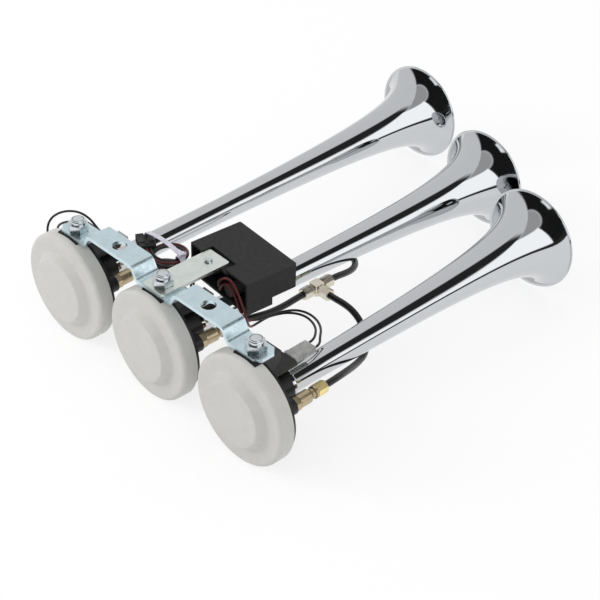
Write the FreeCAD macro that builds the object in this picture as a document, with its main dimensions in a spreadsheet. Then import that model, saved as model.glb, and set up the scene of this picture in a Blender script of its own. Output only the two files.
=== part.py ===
import FreeCAD, Part
import math
import os
import re

import Sketcher

# Three straight trumpet air horns of different length hang under one bent strip.
# The origin is the middle of the line between the strip's two mounting holes, on its
# raised top faces. X runs along the strip, Y along the trumpets, Z up.

SIZES = {
    # Strip
    "horn_spacing": 90,
    "strip_width": 18.4,
    "strip_thickness": 2.5,
    "tab_step": 9,
    "bend_offset": 18.8,
    "bend_angle": 60,
    "bend_head_radius": 5,
    "bend_foot_radius": 4,
    "end_overhang": 11.2,
    "corner_cut": 4.1,
    "mount_hole_radius": 5.25,
    # Studs and nuts
    "stud_radius": 4,
    "stud_top": 8.4,
    "stud_depth": 10,
    "stud_dome": 1,
    "nut_flats": 13,
    "nut_height": 5.2,
    "nut_collar_radius": 5.3,
    "nut_collar_height": 2.9,
    "nut_collar_edge": 0.9,
    "round_gap": 0.1,
    # Caps
    "cap_radius": 40.5,
    "cap_wall": 1.8,
    "cap_depth": 11.5,
    "cap_front": 15.75,
    "cap_edge": 3,
    "disc_base_radius": 28,
    "disc_flat_radius": 23.4,
    "disc_height": 6,
    "disc_edge": 1.6,
    "notch_gap": 0.3,
    # Diaphragms and housings
    "diaphragm_thickness": 0.6,
    "rim_gap": 0.3,
    "rim_wall": 2.2,
    "flange_back": 1,
    "cone_shoulder": 35,
    "cone_end": 10,
    "boss_radius": 12,
    "boss_fade": 1.5,
    "boss_end": 24,
    "throat_radius": 6,
    "throat_wall": 5.5,
    "chamber_back": 4,
    "ear_half": 10,
    "ear_front": 10.2,
    "ear_back": 12.5,
    "ear_rib_foot": 26,
    "ledge_left": 12,
    "ledge_right": 7,
    "ledge_back": 30,
    "ledge_top": 20,
    "ledge_thickness": 3,
    "ledge_web": 4,
    # Terminal blades and boots
    "blade_middle": -0.5,
    "blade_pitch": 5.2,
    "blade_width": 2.8,
    "blade_thickness": 0.8,
    "blade_sunk": 6,
    "blade_reach": 8,
    "boot_width": 11,
    "boot_length": 19,
    "side_boot_length": 8.7,
    "boot_height": 5,
    "boot_edge": 1,
    # Trumpets
    "middle_turn": 2.28,
    "rim_reach": 311.7,
    "length_step": 36.8,
    "rim_radius": 38.2,
    "bead_radius": 1.1,
    "bell_length": 62,
    "trumpet_wall": 1.1,
    "pipe_radius": 9,
    "flare_shift": 10.65,
    "flare_power": 0.47,
    "collar_radius": 11.8,
    "collar_length": 3,
    # Hose unions
    "union_across": 22,
    "union_up": 3.5,
    "union_seat": 6,
    "union_boss_end": 11,
    "union_boss_radius": 6.2,
    "union_neck_radius": 3.8,
    "union_bore": 1.6,
    "union_base_length": 4.5,
    "union_flats": 9.6,
    "union_barrel_radius": 4.9,
    "union_barrel_end": 25,
    "union_taper": 2.2,
    "union_waist_radius": 3.6,
    "union_collar_radius": 4.5,
    "union_collar_length": 1.8,
    "union_collar_end": 31.6,
    "thread_radius": 3.2,
    "thread_length": 4.2,
    "hose_nut_flats": 8.2,
    "hose_nut_length": 8.7,
    "hose_diameter": 4.8,
    # Air fitting
    "tee_across": 27.8,
    "tee_along": 115.5,
    "tee_half": 4,
    "tee_up": 4,
    "tee_edge": 0.6,
    "tee_nut_gap": 1,
    "inlet_radius": 3.8,
    "inlet_bore": 2.4,
    "inlet_depth": 4,
    "inlet_reach": 1.7,
    # Controller plate
    "plate_turn": 1.48,
    "plate_thickness": 2,
    "plate_half": 10.5,
    "plate_front": 9,
    "plate_back": 48.7,
    "plate_corner": 2,
    "plate_screw_along": 38.7,
    "screw_radius": 1.5,
    "screw_head_radius": 3,
    "screw_head_height": 1.6,
    "screw_length": 6,
    # Controller case
    "case_turn": 5.33,
    "case_left": 24,
    "case_right": 39,
    "case_front": 2.8,
    "case_back": 44.8,
    "case_step": 24.3,
    "case_rise": 3,
    "case_height": 25,
    "case_back_height": 19,
    "case_wall": 1.8,
    "case_corner": 1.2,
    "case_notch_left": 11.3,
    "case_notch_right": 15.3,
    "case_notch_back": 12,
    "lug_half": 8,
    "lug_reach": 6,
    "lug_thickness": 4,
    "board_thickness": 1.6,
    "board_gap": 0.3,
    "capacitor_radius": 5,
    "capacitor_across": 16.4,
    "capacitor_along": 4.3,
    # Leads
    "lead_diameter": 2.2,
    "lead_pitch": 2.6,
    "wire_diameter": 1.7,
    "wire_pitch": 6.4,
    "loop_across": -33,
    "loop_along": 32,
    "loop_radius": 12.5,
    "loop_top": 39,
    "loop_fall": 5.5,
    "plug_run": 6,
    "plug_length": 15,
    "plug_width": 12,
    "plug_height": 6,
    "plug_wall": 1,
    "plug_depth": 8,
    "lead_inset": 3.9,
    "lead_depth": 8.2,
    "tie_width": 4,
    "tie_thickness": 0.9,
    "tie_radius": 4.8,
    "tie_head": 4,
    "tie_tail": 30,
    "tie_bow": 3.8,
    "tie_skew": 18,
}

# Height of the strip's raised top faces over the horn axes: the caps touch its low tabs
AXIS_DROP = "(cap_radius + strip_thickness + tab_step)"
# Share of the shorter run that an arc of a cord takes up on each side of its point
ARC_SHARE = 0.45
# Angles at which the leads join and leave their loop and meet their tie, counted round it from above
LOOP_JOIN = 242
LOOP_LEAVE = 700
TIE_TURN = 363
LOOP_POINTS = 15
# Wires and leads run straight to the board over these lengths
WIRE_STRAIGHT = 5
LEAD_STRAIGHT = 7
# Leads at the board stand this far to the right of their line at the case's front
LEAD_ASIDE = 0.3
# Where a lead passes the case's front: aside from its line, behind the front
LEAD_ENTRY = ((-0.5, -2), (0, 4))

FUNCTIONS = ("cos", "sin", "sqrt", "tan")
PLANES = {"x": ("YZ_Plane", 1), "y": ("XZ_Plane", -1), "z": ("XY_Plane", 1)}

doc = FreeCAD.newDocument("AirHorns")
sheet = doc.addObject("Spreadsheet::Sheet", "Sizes")
for row, (alias, size) in enumerate(SIZES.items(), start=1):
    sheet.set(f"A{row}", alias)
    sheet.set(f"B{row}", str(size))
    sheet.setAlias(f"B{row}", alias)
doc.recompute()

nodes = []


def bound(text):
    """Expression text in which every size is read from the sheet."""
    return re.sub(
        r"[a-z][a-z_0-9]*",
        lambda word: word[0] if word[0] in FUNCTIONS else "Sizes." + word[0],
        text,
    )


def value(text):
    """Number that a text of sizes stands for."""
    return float(sheet.evalExpression(bound(text)))


def new_body(label):
    """Empty body that becomes one node."""
    body = doc.addObject("PartDesign::Body", label)
    body.Label = label
    nodes.append(body)
    return body


def new_feature(label, shape):
    """Node whose shape is worked out from the sizes."""
    feature = doc.addObject("Part::Feature", label)
    feature.Label = label
    feature.Shape = shape
    nodes.append(feature)
    return feature


def section(body, axis, start="0"):
    """Sketch across one of the body's axes, at a place along it."""
    role, way = PLANES[axis]
    plane = next(item for item in body.Origin.OriginFeatures if item.Role == role)
    sketch = body.newObject("Sketcher::SketchObject", "Sketch")
    sketch.AttachmentSupport = [(plane, "")]
    sketch.MapMode = "FlatFace"
    sketch.setExpression("AttachmentOffset.Base.z", bound(f"{way}*({start})"))
    return sketch


def fix_point(sketch, item, point, across, up):
    """Holds a point of the sketch at bound distances from its axes."""
    for kind, axis, text in (("DistanceX", -2, across), ("DistanceY", -1, up)):
        if text == "0":
            sketch.addConstraint(Sketcher.Constraint("PointOnObject", item, point, axis))
        else:
            index = sketch.addConstraint(Sketcher.Constraint(kind, item, point, value(text)))
            sketch.setExpression(f"Constraints[{index}]", bound(text))


def outline(sketch, corners):
    """Closed outline through bound corners."""
    first = sketch.GeometryCount
    points = [FreeCAD.Vector(value(across), value(up), 0) for across, up in corners]
    for here, there in zip(points, points[1:] + points[:1]):
        sketch.addGeometry(Part.LineSegment(here, there))
    for index, (across, up) in enumerate(corners):
        following = first + (index + 1) % len(corners)
        sketch.addConstraint(Sketcher.Constraint("Coincident", first + index, 2, following, 1))
        fix_point(sketch, first + index, 1, across, up)


def box(sketch, left, right, low, high):
    """Rectangle between bound sides."""
    outline(sketch, [(left, low), (right, low), (right, high), (left, high)])


def circle(sketch, radius, across="0", up="0"):
    """Circle of a bound radius."""
    centre = FreeCAD.Vector(value(across), value(up), 0)
    index = sketch.addGeometry(Part.Circle(centre, FreeCAD.Vector(0, 0, 1), value(radius)))
    fix_point(sketch, index, 3, across, up)
    size = sketch.addConstraint(Sketcher.Constraint("Radius", index, value(radius)))
    sketch.setExpression(f"Constraints[{size}]", bound(radius))


def hexagon(sketch, flats):
    """Hexagon of a bound size across its flats."""
    half = f"{flats}/2"
    corner = f"{flats}/sqrt(3)"
    side = f"{flats}/sqrt(12)"
    outline(sketch, [
        ("0", corner), (f"-{half}", side), (f"-{half}", f"-{side}"),
        ("0", f"-{corner}"), (half, f"-{side}"), (half, side),
    ])


def extrude(body, axis, sketch, length, cut=False):
    """Pads the sketch towards the plus side of its axis, or cuts with it."""
    before = body.Shape.Volume if body.Tip else 0
    way = PLANES[axis][1]
    kind = "Pocket" if cut else "Pad"
    feature = body.newObject("PartDesign::" + kind, kind)
    feature.Profile = sketch
    feature.setExpression("Length", bound(length))
    feature.Reversed = (way < 0) != cut
    doc.recompute()
    check_change(body, feature, before, cut)
    return feature


def revolve(body, sketch, cut=False):
    """Turns the sketch about its upright axis, or cuts with it."""
    before = body.Shape.Volume if body.Tip else 0
    kind = "Groove" if cut else "Revolution"
    feature = body.newObject("PartDesign::" + kind, kind)
    feature.Profile = sketch
    feature.ReferenceAxis = (sketch, ["V_Axis"])
    feature.Angle = 360
    doc.recompute()
    check_change(body, feature, before, cut)
    return feature


def check_change(body, feature, before, cut):
    """Stops where a cut takes nothing away or a pad adds nothing."""
    after = body.Shape.Volume
    if (after >= before) if cut else (after <= before):
        raise ValueError(f"{body.Label}: {feature.Name} leaves {after:.1f} of {before:.1f}")


def edges_where(feature, chosen):
    """Names of the feature's edges that a test picks."""
    return [
        f"Edge{index}"
        for index, edge in enumerate(feature.Shape.Edges, start=1)
        if chosen(edge)
    ]


def dress(body, kind, feature, chosen, size):
    """Fillet or chamfer of a bound size on chosen edges."""
    dressing = body.newObject("PartDesign::" + kind, kind)
    dressing.Base = (feature, edges_where(feature, chosen))
    dressing.setExpression("Radius" if kind == "Fillet" else "Size", bound(size))
    doc.recompute()
    return dressing


def ring_at(axis, place, radius):
    """Test for a round edge about an axis at a place along it."""
    where = value(place)
    size = value(radius)

    def chosen(edge):
        curve = edge.Curve
        if not isinstance(curve, Part.Circle):
            return False
        along = getattr(curve.Center, axis)
        return abs(along - where) < 0.01 and abs(curve.Radius - size) < 0.01

    return chosen


def upright(edge):
    """Test for a straight edge along Z."""
    return isinstance(edge.Curve, Part.Line) and abs(edge.tangentAt(edge.FirstParameter).z) > 0.99


def stand(piece, across, along, up, turn="0"):
    """Stands a piece at a bound place, turned towards +X seen from above."""
    piece.setExpression("Placement.Base.x", bound(across))
    piece.setExpression("Placement.Base.y", bound(along))
    piece.setExpression("Placement.Base.z", bound(up))
    piece.setExpression("Placement.Rotation.Angle", bound(f"-({turn})") + "*1deg")


class Horn:
    """Place and reach of one horn under the strip."""

    def __init__(self, name, column, turn, reach, lift):
        self.name = name
        self.stud = f"{column}*horn_spacing"
        self.turn = turn
        self.reach = reach
        self.lift = lift

    def body(self, part):
        return new_body(f"{self.name}_{part}")

    def stand(self, piece, across="0", along="0", up="0"):
        """Stands a piece at a place counted from stud and horn axis."""
        turned_x = f"({across})*cos({self.turn}) + ({along})*sin({self.turn})"
        turned_y = f"({along})*cos({self.turn}) - ({across})*sin({self.turn})"
        stand(piece, f"{self.stud} + {turned_x}", turned_y, f"{up} - {AXIS_DROP}", self.turn)

    def point(self, across, along, up):
        """The same place as a point of the whole set."""
        turn = math.radians(value(self.turn))
        side = value(across)
        ahead = value(along)
        return FreeCAD.Vector(
            value(self.stud) + side * math.cos(turn) + ahead * math.sin(turn),
            ahead * math.cos(turn) - side * math.sin(turn),
            value(up) - value(AXIS_DROP),
        )


HORNS = [
    Horn("left", "-1", "0", "(rim_reach + length_step)", "0"),
    Horn("middle", "0", "middle_turn", "rim_reach", "plate_thickness"),
    Horn("right", "1", "0", "(rim_reach - length_step)", "0"),
]
LEFT, MIDDLE, RIGHT = HORNS


def make_strip():
    """Zinc plated strip with two raised plates between three low tabs."""
    strip = new_body("mounting_strip")
    run = "tab_step/tan(bend_angle)"
    shift = "strip_thickness*tan(bend_angle/2)"
    foot = f"(bend_offset - {run}/2)"
    head = f"(bend_offset + {run}/2)"
    corners = [("-(horn_spacing + end_overhang)", "-tab_step")]
    for side, stud in (("-", "-horn_spacing"), ("", "0")):
        corners += [
            (f"{stud} + {foot}", "-tab_step"),
            (f"{stud} + {head}", "0"),
            (f"{stud} + horn_spacing - {head}", "0"),
            (f"{stud} + horn_spacing - {foot}", "-tab_step"),
        ]
    corners.append(("horn_spacing + end_overhang", "-tab_step"))
    corners.append(("horn_spacing + end_overhang", "-tab_step - strip_thickness"))
    for stud in ("horn_spacing", "0"):
        corners += [
            (f"{stud} - {foot} - {shift}", "-tab_step - strip_thickness"),
            (f"{stud} - {head} - {shift}", "-strip_thickness"),
            (f"{stud} - horn_spacing + {head} + {shift}", "-strip_thickness"),
            (f"{stud} - horn_spacing + {foot} + {shift}", "-tab_step - strip_thickness"),
        ]
    corners.append(("-(horn_spacing + end_overhang)", "-tab_step - strip_thickness"))
    profile = section(strip, "y", "-strip_width/2")
    outline(profile, corners)
    band = extrude(strip, "y", profile, "strip_width")

    low_top = value("-tab_step")
    low_under = value("-tab_step - strip_thickness")
    high_under = value("-strip_thickness")
    end = value("horn_spacing + end_overhang")

    def bend_edge(heights):
        def chosen(edge):
            middle = edge.CenterOfMass
            across = abs(edge.tangentAt(edge.FirstParameter).y) > 0.99
            inside = abs(middle.x) < end - 1
            return across and inside and any(abs(middle.z - z) < 0.01 for z in heights)
        return chosen

    outer = dress(strip, "Fillet", band, bend_edge((0, low_under)), "bend_head_radius")
    inner = dress(strip, "Fillet", outer, bend_edge((low_top, high_under)), "bend_foot_radius")

    holes = section(strip, "z", "-tab_step - 2*strip_thickness")
    for side in ("-", ""):
        circle(holes, "mount_hole_radius", f"{side}horn_spacing/2")
    for horn in HORNS:
        circle(holes, "stud_radius + round_gap", horn.stud)
    drilled = extrude(strip, "z", holes, "tab_step + 3*strip_thickness", cut=True)

    def end_corner(edge):
        return upright(edge) and abs(abs(edge.CenterOfMass.x) - end) < 0.01

    dress(strip, "Chamfer", drilled, end_corner, "corner_cut")


def make_cap(horn):
    """Round pale cap with a raised centre disc and a notch for the ear."""
    cap = horn.body("cap")
    front = "-cap_front"
    flat = "-cap_front - disc_height"
    back = "-cap_front + cap_depth"
    inner = "(cap_radius - cap_wall)"
    profile = section(cap, "z")
    outline(profile, [
        ("0", flat), ("disc_flat_radius", flat), ("disc_base_radius", front),
        ("cap_radius", front), ("cap_radius", back), (inner, back),
        (inner, f"{front} + cap_wall"), ("disc_base_radius - cap_wall", f"{front} + cap_wall"),
        ("disc_flat_radius - cap_wall", f"{flat} + cap_wall"), ("0", f"{flat} + cap_wall"),
    ])
    turned = revolve(cap, profile)
    rounded = dress(cap, "Fillet", turned, ring_at("y", front, "cap_radius"), "cap_edge")
    rounded = dress(cap, "Fillet", rounded, ring_at("y", flat, "disc_flat_radius"), "disc_edge")
    dress(cap, "Fillet", rounded, ring_at("y", front, "disc_base_radius"), "disc_edge")
    notch = section(cap, "z")
    box(notch, "-ear_half - notch_gap", "ear_half + notch_gap",
        "-ear_front - notch_gap", f"{back} + cap_wall")
    extrude(cap, "z", notch, "cap_radius + cap_wall", cut=True)
    horn.stand(cap)


def make_diaphragm(horn):
    """Sprung metal disc held between cap and housing."""
    disc = horn.body("diaphragm")
    face = section(disc, "y", "-cap_front + cap_wall")
    circle(face, "cap_radius - cap_wall - rim_gap")
    extrude(disc, "y", face, "diaphragm_thickness")
    horn.stand(disc)


HOUSING_FRONT = "-cap_front + cap_wall + diaphragm_thickness"
HOUSING_RIM = "(cap_radius - cap_wall - rim_gap)"
# Outline of the housing's outside, from its front rim to its back face
HOUSING_BACK = [
    (HOUSING_RIM, HOUSING_FRONT), (HOUSING_RIM, "-flange_back"),
    ("cone_shoulder", "flange_back/2"), ("boss_radius + boss_fade", "cone_end"),
    ("boss_radius", "cone_end + boss_fade"), ("boss_radius", "boss_end"),
]


def make_housing(horn):
    """Black driver housing: chamber, throat tube, ear and air boss."""
    housing = horn.body("housing")
    front = HOUSING_FRONT
    rim = HOUSING_RIM
    throat_outer = "(throat_radius + throat_wall)"
    profile = section(housing, "z")
    outline(profile, [("throat_radius", front)] + HOUSING_BACK + [("throat_radius", "boss_end")])
    revolve(housing, profile)

    ear_top = "cap_radius"
    ear = section(housing, "x", "-ear_half")
    outline(ear, [
        ("-ear_front", "cap_radius - 3*cap_wall"), ("-ear_front", ear_top), ("ear_back", ear_top),
        ("ear_back", "cap_radius - 4*cap_wall"), ("chamber_back", "ear_rib_foot"),
        ("-chamber_back", "ear_rib_foot"),
    ])
    extrude(housing, "x", ear, "2*ear_half")

    boss = section(housing, "y", "chamber_back")
    circle(boss, "union_boss_radius", "union_across", "union_up")
    extrude(housing, "y", boss, "union_boss_end - chamber_back")

    chamber = section(housing, "z")
    outline(chamber, [
        (throat_outer, front + " - 1"), (f"{rim} - rim_wall", front + " - 1"),
        (f"{rim} - rim_wall", "-chamber_back"), (f"{throat_outer} + rim_wall", "chamber_back"),
        (throat_outer, "chamber_back"),
    ])
    revolve(housing, chamber, cut=True)

    neck = section(housing, "y", "union_seat")
    circle(neck, "union_neck_radius + round_gap", "union_across", "union_up")
    extrude(housing, "y", neck, "union_boss_end", cut=True)
    passage = section(housing, "y", "-chamber_back")
    circle(passage, "union_bore", "union_across", "union_up")
    extrude(housing, "y", passage, "chamber_back + union_boss_end", cut=True)
    seat = section(housing, "z", f"{ear_top} - stud_depth")
    circle(seat, "stud_radius + round_gap")
    extrude(housing, "z", seat, "2*stud_depth", cut=True)
    horn.stand(housing)


def make_ledge(horn):
    """Terminal ledge on the housing's back, with a web below and slots for the blades."""
    ledge = horn.body("ledge")
    shelf = section(ledge, "x", "-ledge_left")
    box(shelf, "chamber_back", "ledge_back", "ledge_top - ledge_thickness", "ledge_top")
    extrude(ledge, "x", shelf, "ledge_left + ledge_right")
    web = section(ledge, "x", "blade_middle - ledge_web/2")
    outline(web, [
        ("chamber_back", "boss_radius/2"), ("boss_end - ledge_web/4", "boss_radius/2"),
        ("boss_end - ledge_web/4", "boss_radius"),
        ("ledge_back - 2*ledge_thickness", "ledge_top - ledge_thickness/2"),
        ("chamber_back", "ledge_top - ledge_thickness/2"),
    ])
    extrude(ledge, "x", web, "ledge_web")
    taken = section(ledge, "z")
    outline(taken, [("0", HOUSING_FRONT)] + HOUSING_BACK + [("0", "boss_end")])
    revolve(ledge, taken, cut=True)
    slots = section(ledge, "y", "ledge_back - blade_sunk")
    for side in ("-", "+"):
        box(slots, f"blade_middle {side} blade_pitch/2 - blade_width/2",
            f"blade_middle {side} blade_pitch/2 + blade_width/2",
            "ledge_top - ledge_thickness/2 - blade_thickness/2",
            "ledge_top - ledge_thickness/2 + blade_thickness/2")
    extrude(ledge, "y", slots, "2*blade_sunk", cut=True)
    horn.stand(ledge)


def make_blades(horn):
    """Pair of flat terminals in the ledge's slots."""
    blades = horn.body("blades")
    cross = section(blades, "y", "ledge_back - blade_sunk")
    for side in ("-", "+"):
        box(cross, f"{side}blade_pitch/2 - blade_width/2", f"{side}blade_pitch/2 + blade_width/2",
            "-blade_thickness/2", "blade_thickness/2")
    extrude(blades, "y", cross, "blade_sunk + blade_reach")
    horn.stand(blades, "blade_middle", "0", "ledge_top - ledge_thickness/2")


def make_boot(horn, length):
    """Soft boot pushed over both blades."""
    boot = horn.body("boot")
    cross = section(boot, "y", "ledge_back + notch_gap")
    box(cross, "-boot_width/2", "boot_width/2", "-boot_height/2", "boot_height/2")
    block = extrude(boot, "y", cross, length)

    def long_edge(edge):
        straight = isinstance(edge.Curve, Part.Line)
        return straight and abs(edge.tangentAt(edge.FirstParameter).y) > 0.99

    dress(boot, "Fillet", block, long_edge, "boot_edge")
    slots = section(boot, "y", "ledge_back")
    for side in ("-", "+"):
        box(slots, f"{side}blade_pitch/2 - blade_width/2", f"{side}blade_pitch/2 + blade_width/2",
            "-blade_thickness/2", "blade_thickness/2")
    extrude(boot, "y", slots, "blade_reach", cut=True)
    horn.stand(boot, "blade_middle", "0", "ledge_top - ledge_thickness/2")


def flare_radius(back):
    """Outer radius of a trumpet at a distance back from its rim."""
    shift = value("flare_shift")
    grown = value("rim_radius") * ((back + shift) / shift) ** -value("flare_power")
    return max(grown, value("pipe_radius"))


def make_trumpet(horn):
    """Chromed trumpet: pipe with its collar, and bell whose flare follows a power law, with rolled rim."""
    start = value("boss_end")
    collar_end = start + value("collar_length")
    rim = value(horn.reach)
    wall = value("trumpet_wall")
    pipe = value("pipe_radius")
    shift = value("flare_shift")
    flare_length = shift * ((value("rim_radius") / pipe) ** (1 / value("flare_power")) - 1)
    steps = [0, 0.012, 0.03, 0.06, 0.1, 0.16, 0.24, 0.34, 0.46, 0.6, 0.76, 0.9, 1]
    outer = [FreeCAD.Vector(flare_radius(flare_length * s), rim - flare_length * s, 0) for s in steps]
    inner = [point - FreeCAD.Vector(wall, 0, 0) for point in reversed(outer)]
    outer_curve = Part.BSplineCurve()
    outer_curve.interpolate(outer)
    inner_curve = Part.BSplineCurve()
    inner_curve.interpolate(inner)
    collar = value("collar_radius")
    bore = value("throat_radius")
    corners = [
        outer[-1],
        FreeCAD.Vector(pipe, collar_end + 1, 0),
        FreeCAD.Vector(collar - 0.5, collar_end, 0),
        FreeCAD.Vector(collar, collar_end - 0.5, 0),
        FreeCAD.Vector(collar, start, 0),
        FreeCAD.Vector(bore, start, 0),
        FreeCAD.Vector(pipe - wall, collar_end, 0),
        inner[0],
    ]
    edges = [outer_curve.toShape()]
    edges += [Part.LineSegment(a, b).toShape() for a, b in zip(corners, corners[1:])]
    edges.append(inner_curve.toShape())
    edges.append(Part.LineSegment(inner[-1], outer[0]).toShape())
    axis = FreeCAD.Vector(0, 1, 0)
    tube = Part.Face(Part.Wire(edges)).revolve(FreeCAD.Vector(0, 0, 0), axis, 360)
    bead_radius = value("bead_radius")
    bead = Part.makeTorus(
        value("rim_radius") - wall / 2, bead_radius, FreeCAD.Vector(0, rim - bead_radius / 2, 0), axis)
    whole = tube.fuse(bead)
    seam = rim - value("bell_length")
    room = 2 * value("rim_radius")
    ahead = Part.makeCylinder(room, value("bell_length") + room, FreeCAD.Vector(0, seam, 0), axis)
    for part, shape in (("pipe", whole.cut(ahead)), ("bell", whole.common(ahead))):
        horn.stand(new_feature(f"{horn.name}_{part}", shape))


def make_stud(horn):
    """Stud set in the ear, with a domed end."""
    stud = horn.body("stud")
    low = "-tab_step - strip_thickness - stud_depth"
    top = f"stud_top - tab_step + {horn.lift}"
    face = section(stud, "z", low)
    circle(face, "stud_radius")
    shank = extrude(stud, "z", face, f"{top} - ({low})")
    dress(stud, "Fillet", shank, ring_at("z", top, "stud_radius"), "stud_dome")
    stand(stud, horn.stud, "0", "0")


def crowned(body, profile, low, high, flats):
    """Turns the corners off both ends of a hexagon made along Z."""
    outline(profile, [
        ("0", low), (f"{flats}/2 - 0.2", low), (f"{flats}/sqrt(3)", f"{low} + {flats}/20"),
        (f"{flats}/sqrt(3)", f"{high} - {flats}/20"), (f"{flats}/2 - 0.2", high), ("0", high),
    ])


def hexagon_nut(body, axis, low, high, flats, bore):
    """Hexagon with its corners turned off and a bore, along an axis of the body."""
    side = "y" if axis == "z" else "z"
    profile = section(body, side)
    crowned(body, profile, low, high, flats)
    revolve(body, profile)
    waste = section(body, axis, f"{low} - 1")
    hexagon(waste, flats)
    circle(waste, f"{flats}")
    extrude(body, axis, waste, f"{high} - ({low}) + 2", cut=True)
    hole = section(body, axis, f"{low} - 1")
    circle(hole, bore)
    extrude(body, axis, hole, f"{high} - ({low}) + 2", cut=True)


def make_nut(horn):
    """Hexagon lock nut on the stud, with a round collar."""
    nut = horn.body("nut")
    hexagon_nut(nut, "z", "0", "nut_height", "nut_flats", "stud_radius + round_gap")
    face = section(nut, "z", "nut_height")
    circle(face, "nut_collar_radius")
    circle(face, "stud_radius + round_gap")
    collar = extrude(nut, "z", face, "nut_collar_height")
    top = ring_at("z", "nut_height + nut_collar_height", "nut_collar_radius")
    dress(nut, "Fillet", collar, top, "nut_collar_edge")
    stand(nut, horn.stud, "0", f"{horn.lift} - tab_step", horn.turn)


def make_union(horn):
    """Brass hose union screwed into the housing's air boss: hexagon foot, round barrel, collar, thread."""
    union = horn.body("union")
    base_end = "union_boss_end + union_base_length"
    hexagon_nut(union, "y", "union_boss_end", base_end, "union_flats", "union_bore")
    profile = section(union, "z")
    outline(profile, [
        ("0", base_end), ("union_barrel_radius", base_end), ("union_barrel_radius", "union_barrel_end"),
        ("union_waist_radius", "union_barrel_end + union_taper"),
        ("union_waist_radius", "union_collar_end - union_collar_length"),
        ("union_collar_radius", "union_collar_end - union_collar_length"),
        ("union_collar_radius", "union_collar_end"), ("0", "union_collar_end"),
    ])
    revolve(union, profile)
    for radius, start, length in (
            ("union_neck_radius", "union_seat", "union_boss_end - union_seat"),
            ("thread_radius", "union_collar_end", "thread_length")):
        face = section(union, "y", start)
        circle(face, radius)
        extrude(union, "y", face, length)
    bore = section(union, "y", "union_seat - 1")
    circle(bore, "union_bore")
    extrude(union, "y", bore, "union_collar_end + thread_length", cut=True)
    horn.stand(union, "union_across", "0", "union_up")


def make_hose_nut(nut, start):
    """Turns a body into the hose nut whose thread starts at a place along Y."""
    end = f"{start} + hose_nut_length"
    hexagon_nut(nut, "y", start, end, "hose_nut_flats", "hose_diameter/2 + round_gap")
    relief = section(nut, "y", f"{start} - 1")
    circle(relief, "thread_radius + round_gap")
    extrude(nut, "y", relief, "thread_length + 1", cut=True)


def make_union_nut(horn):
    """Gold hose nut over the union's thread and the hose."""
    nut = horn.body("union_nut")
    make_hose_nut(nut, "union_collar_end")
    horn.stand(nut, "union_across", "0", "union_up")


TEE_LEG = "(tee_half + tee_nut_gap + thread_length)"


def make_tee():
    """Four-way air fitting: block, three hose legs and the inlet port below."""
    tee = new_body("tee_body")
    face = section(tee, "z", "-tee_up")
    box(face, "-tee_half", "tee_half", "-tee_half", "tee_half")
    block = extrude(tee, "z", face, "2*tee_up")
    dress(tee, "Chamfer", block, upright, "tee_edge")
    for axis, start, length in (("y", f"-{TEE_LEG}", f"2*{TEE_LEG}"), ("x", "0", TEE_LEG)):
        leg = section(tee, axis, start)
        circle(leg, "thread_radius")
        extrude(tee, axis, leg, length)
    port = section(tee, "z", "-tee_up - inlet_reach")
    circle(port, "inlet_radius")
    extrude(tee, "z", port, "inlet_reach + tee_up")
    for axis, start, length in (("y", f"-{TEE_LEG} - 1", f"2*{TEE_LEG} + 2"), ("x", "0", f"{TEE_LEG} + 1")):
        bore = section(tee, axis, start)
        circle(bore, "union_bore")
        extrude(tee, axis, bore, length, cut=True)
    inlet = section(tee, "z", "-tee_up - inlet_reach - 1")
    circle(inlet, "inlet_bore")
    extrude(tee, "z", inlet, "inlet_depth + 1", cut=True)
    drill = section(tee, "z", "-tee_up - inlet_reach")
    circle(drill, "union_bore")
    extrude(tee, "z", drill, "inlet_reach + tee_up", cut=True)
    stand(tee, "tee_across", "tee_along", f"-{AXIS_DROP}")


def make_tee_nut(name, turn):
    """Hose nut on one leg of the air fitting."""
    nut = new_body(name)
    make_hose_nut(nut, "tee_half + tee_nut_gap")
    stand(nut, "tee_across", "tee_along", f"-{AXIS_DROP}", turn)


def make_plate():
    """Nickel plated plate that carries the controller, held by the middle nut."""
    plate = new_body("controller_plate")
    face = section(plate, "z")
    box(face, "-plate_half", "plate_half", "-plate_front", "plate_back")
    circle(face, "stud_radius + round_gap")
    circle(face, "screw_radius + round_gap", "0", "plate_screw_along")
    slab = extrude(plate, "z", face, "plate_thickness")
    dress(plate, "Fillet", slab, upright_line_at("plate_half"), "plate_corner")
    stand(plate, "0", "0", "-tab_step", "plate_turn")


def upright_line_at(half):
    """Test for upright straight edges at the sides of a slab."""
    side = value(half)
    return lambda edge: upright(edge) and abs(abs(edge.CenterOfMass.x) - side) < 0.01


def stand_on_case(piece, across="0", along="0", up="0"):
    """Stands a piece at a place counted from the plate's screw."""
    turned_x = f"({across})*cos(case_turn) + ({along})*sin(case_turn)"
    turned_y = f"({along})*cos(case_turn) - ({across})*sin(case_turn)"
    stand(piece, f"plate_screw_along*sin(plate_turn) + {turned_x}",
          f"plate_screw_along*cos(plate_turn) + {turned_y}", f"{up} - tab_step", "case_turn")


def case_point(across, along, up):
    """The same place as a point of the whole set."""
    turn = math.radians(value("case_turn"))
    swing = math.radians(value("plate_turn"))
    reach = value("plate_screw_along")
    return FreeCAD.Vector(
        reach * math.sin(swing) + across * math.cos(turn) + along * math.sin(turn),
        reach * math.cos(swing) + along * math.cos(turn) - across * math.sin(turn),
        up - value("tab_step"),
    )


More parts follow.
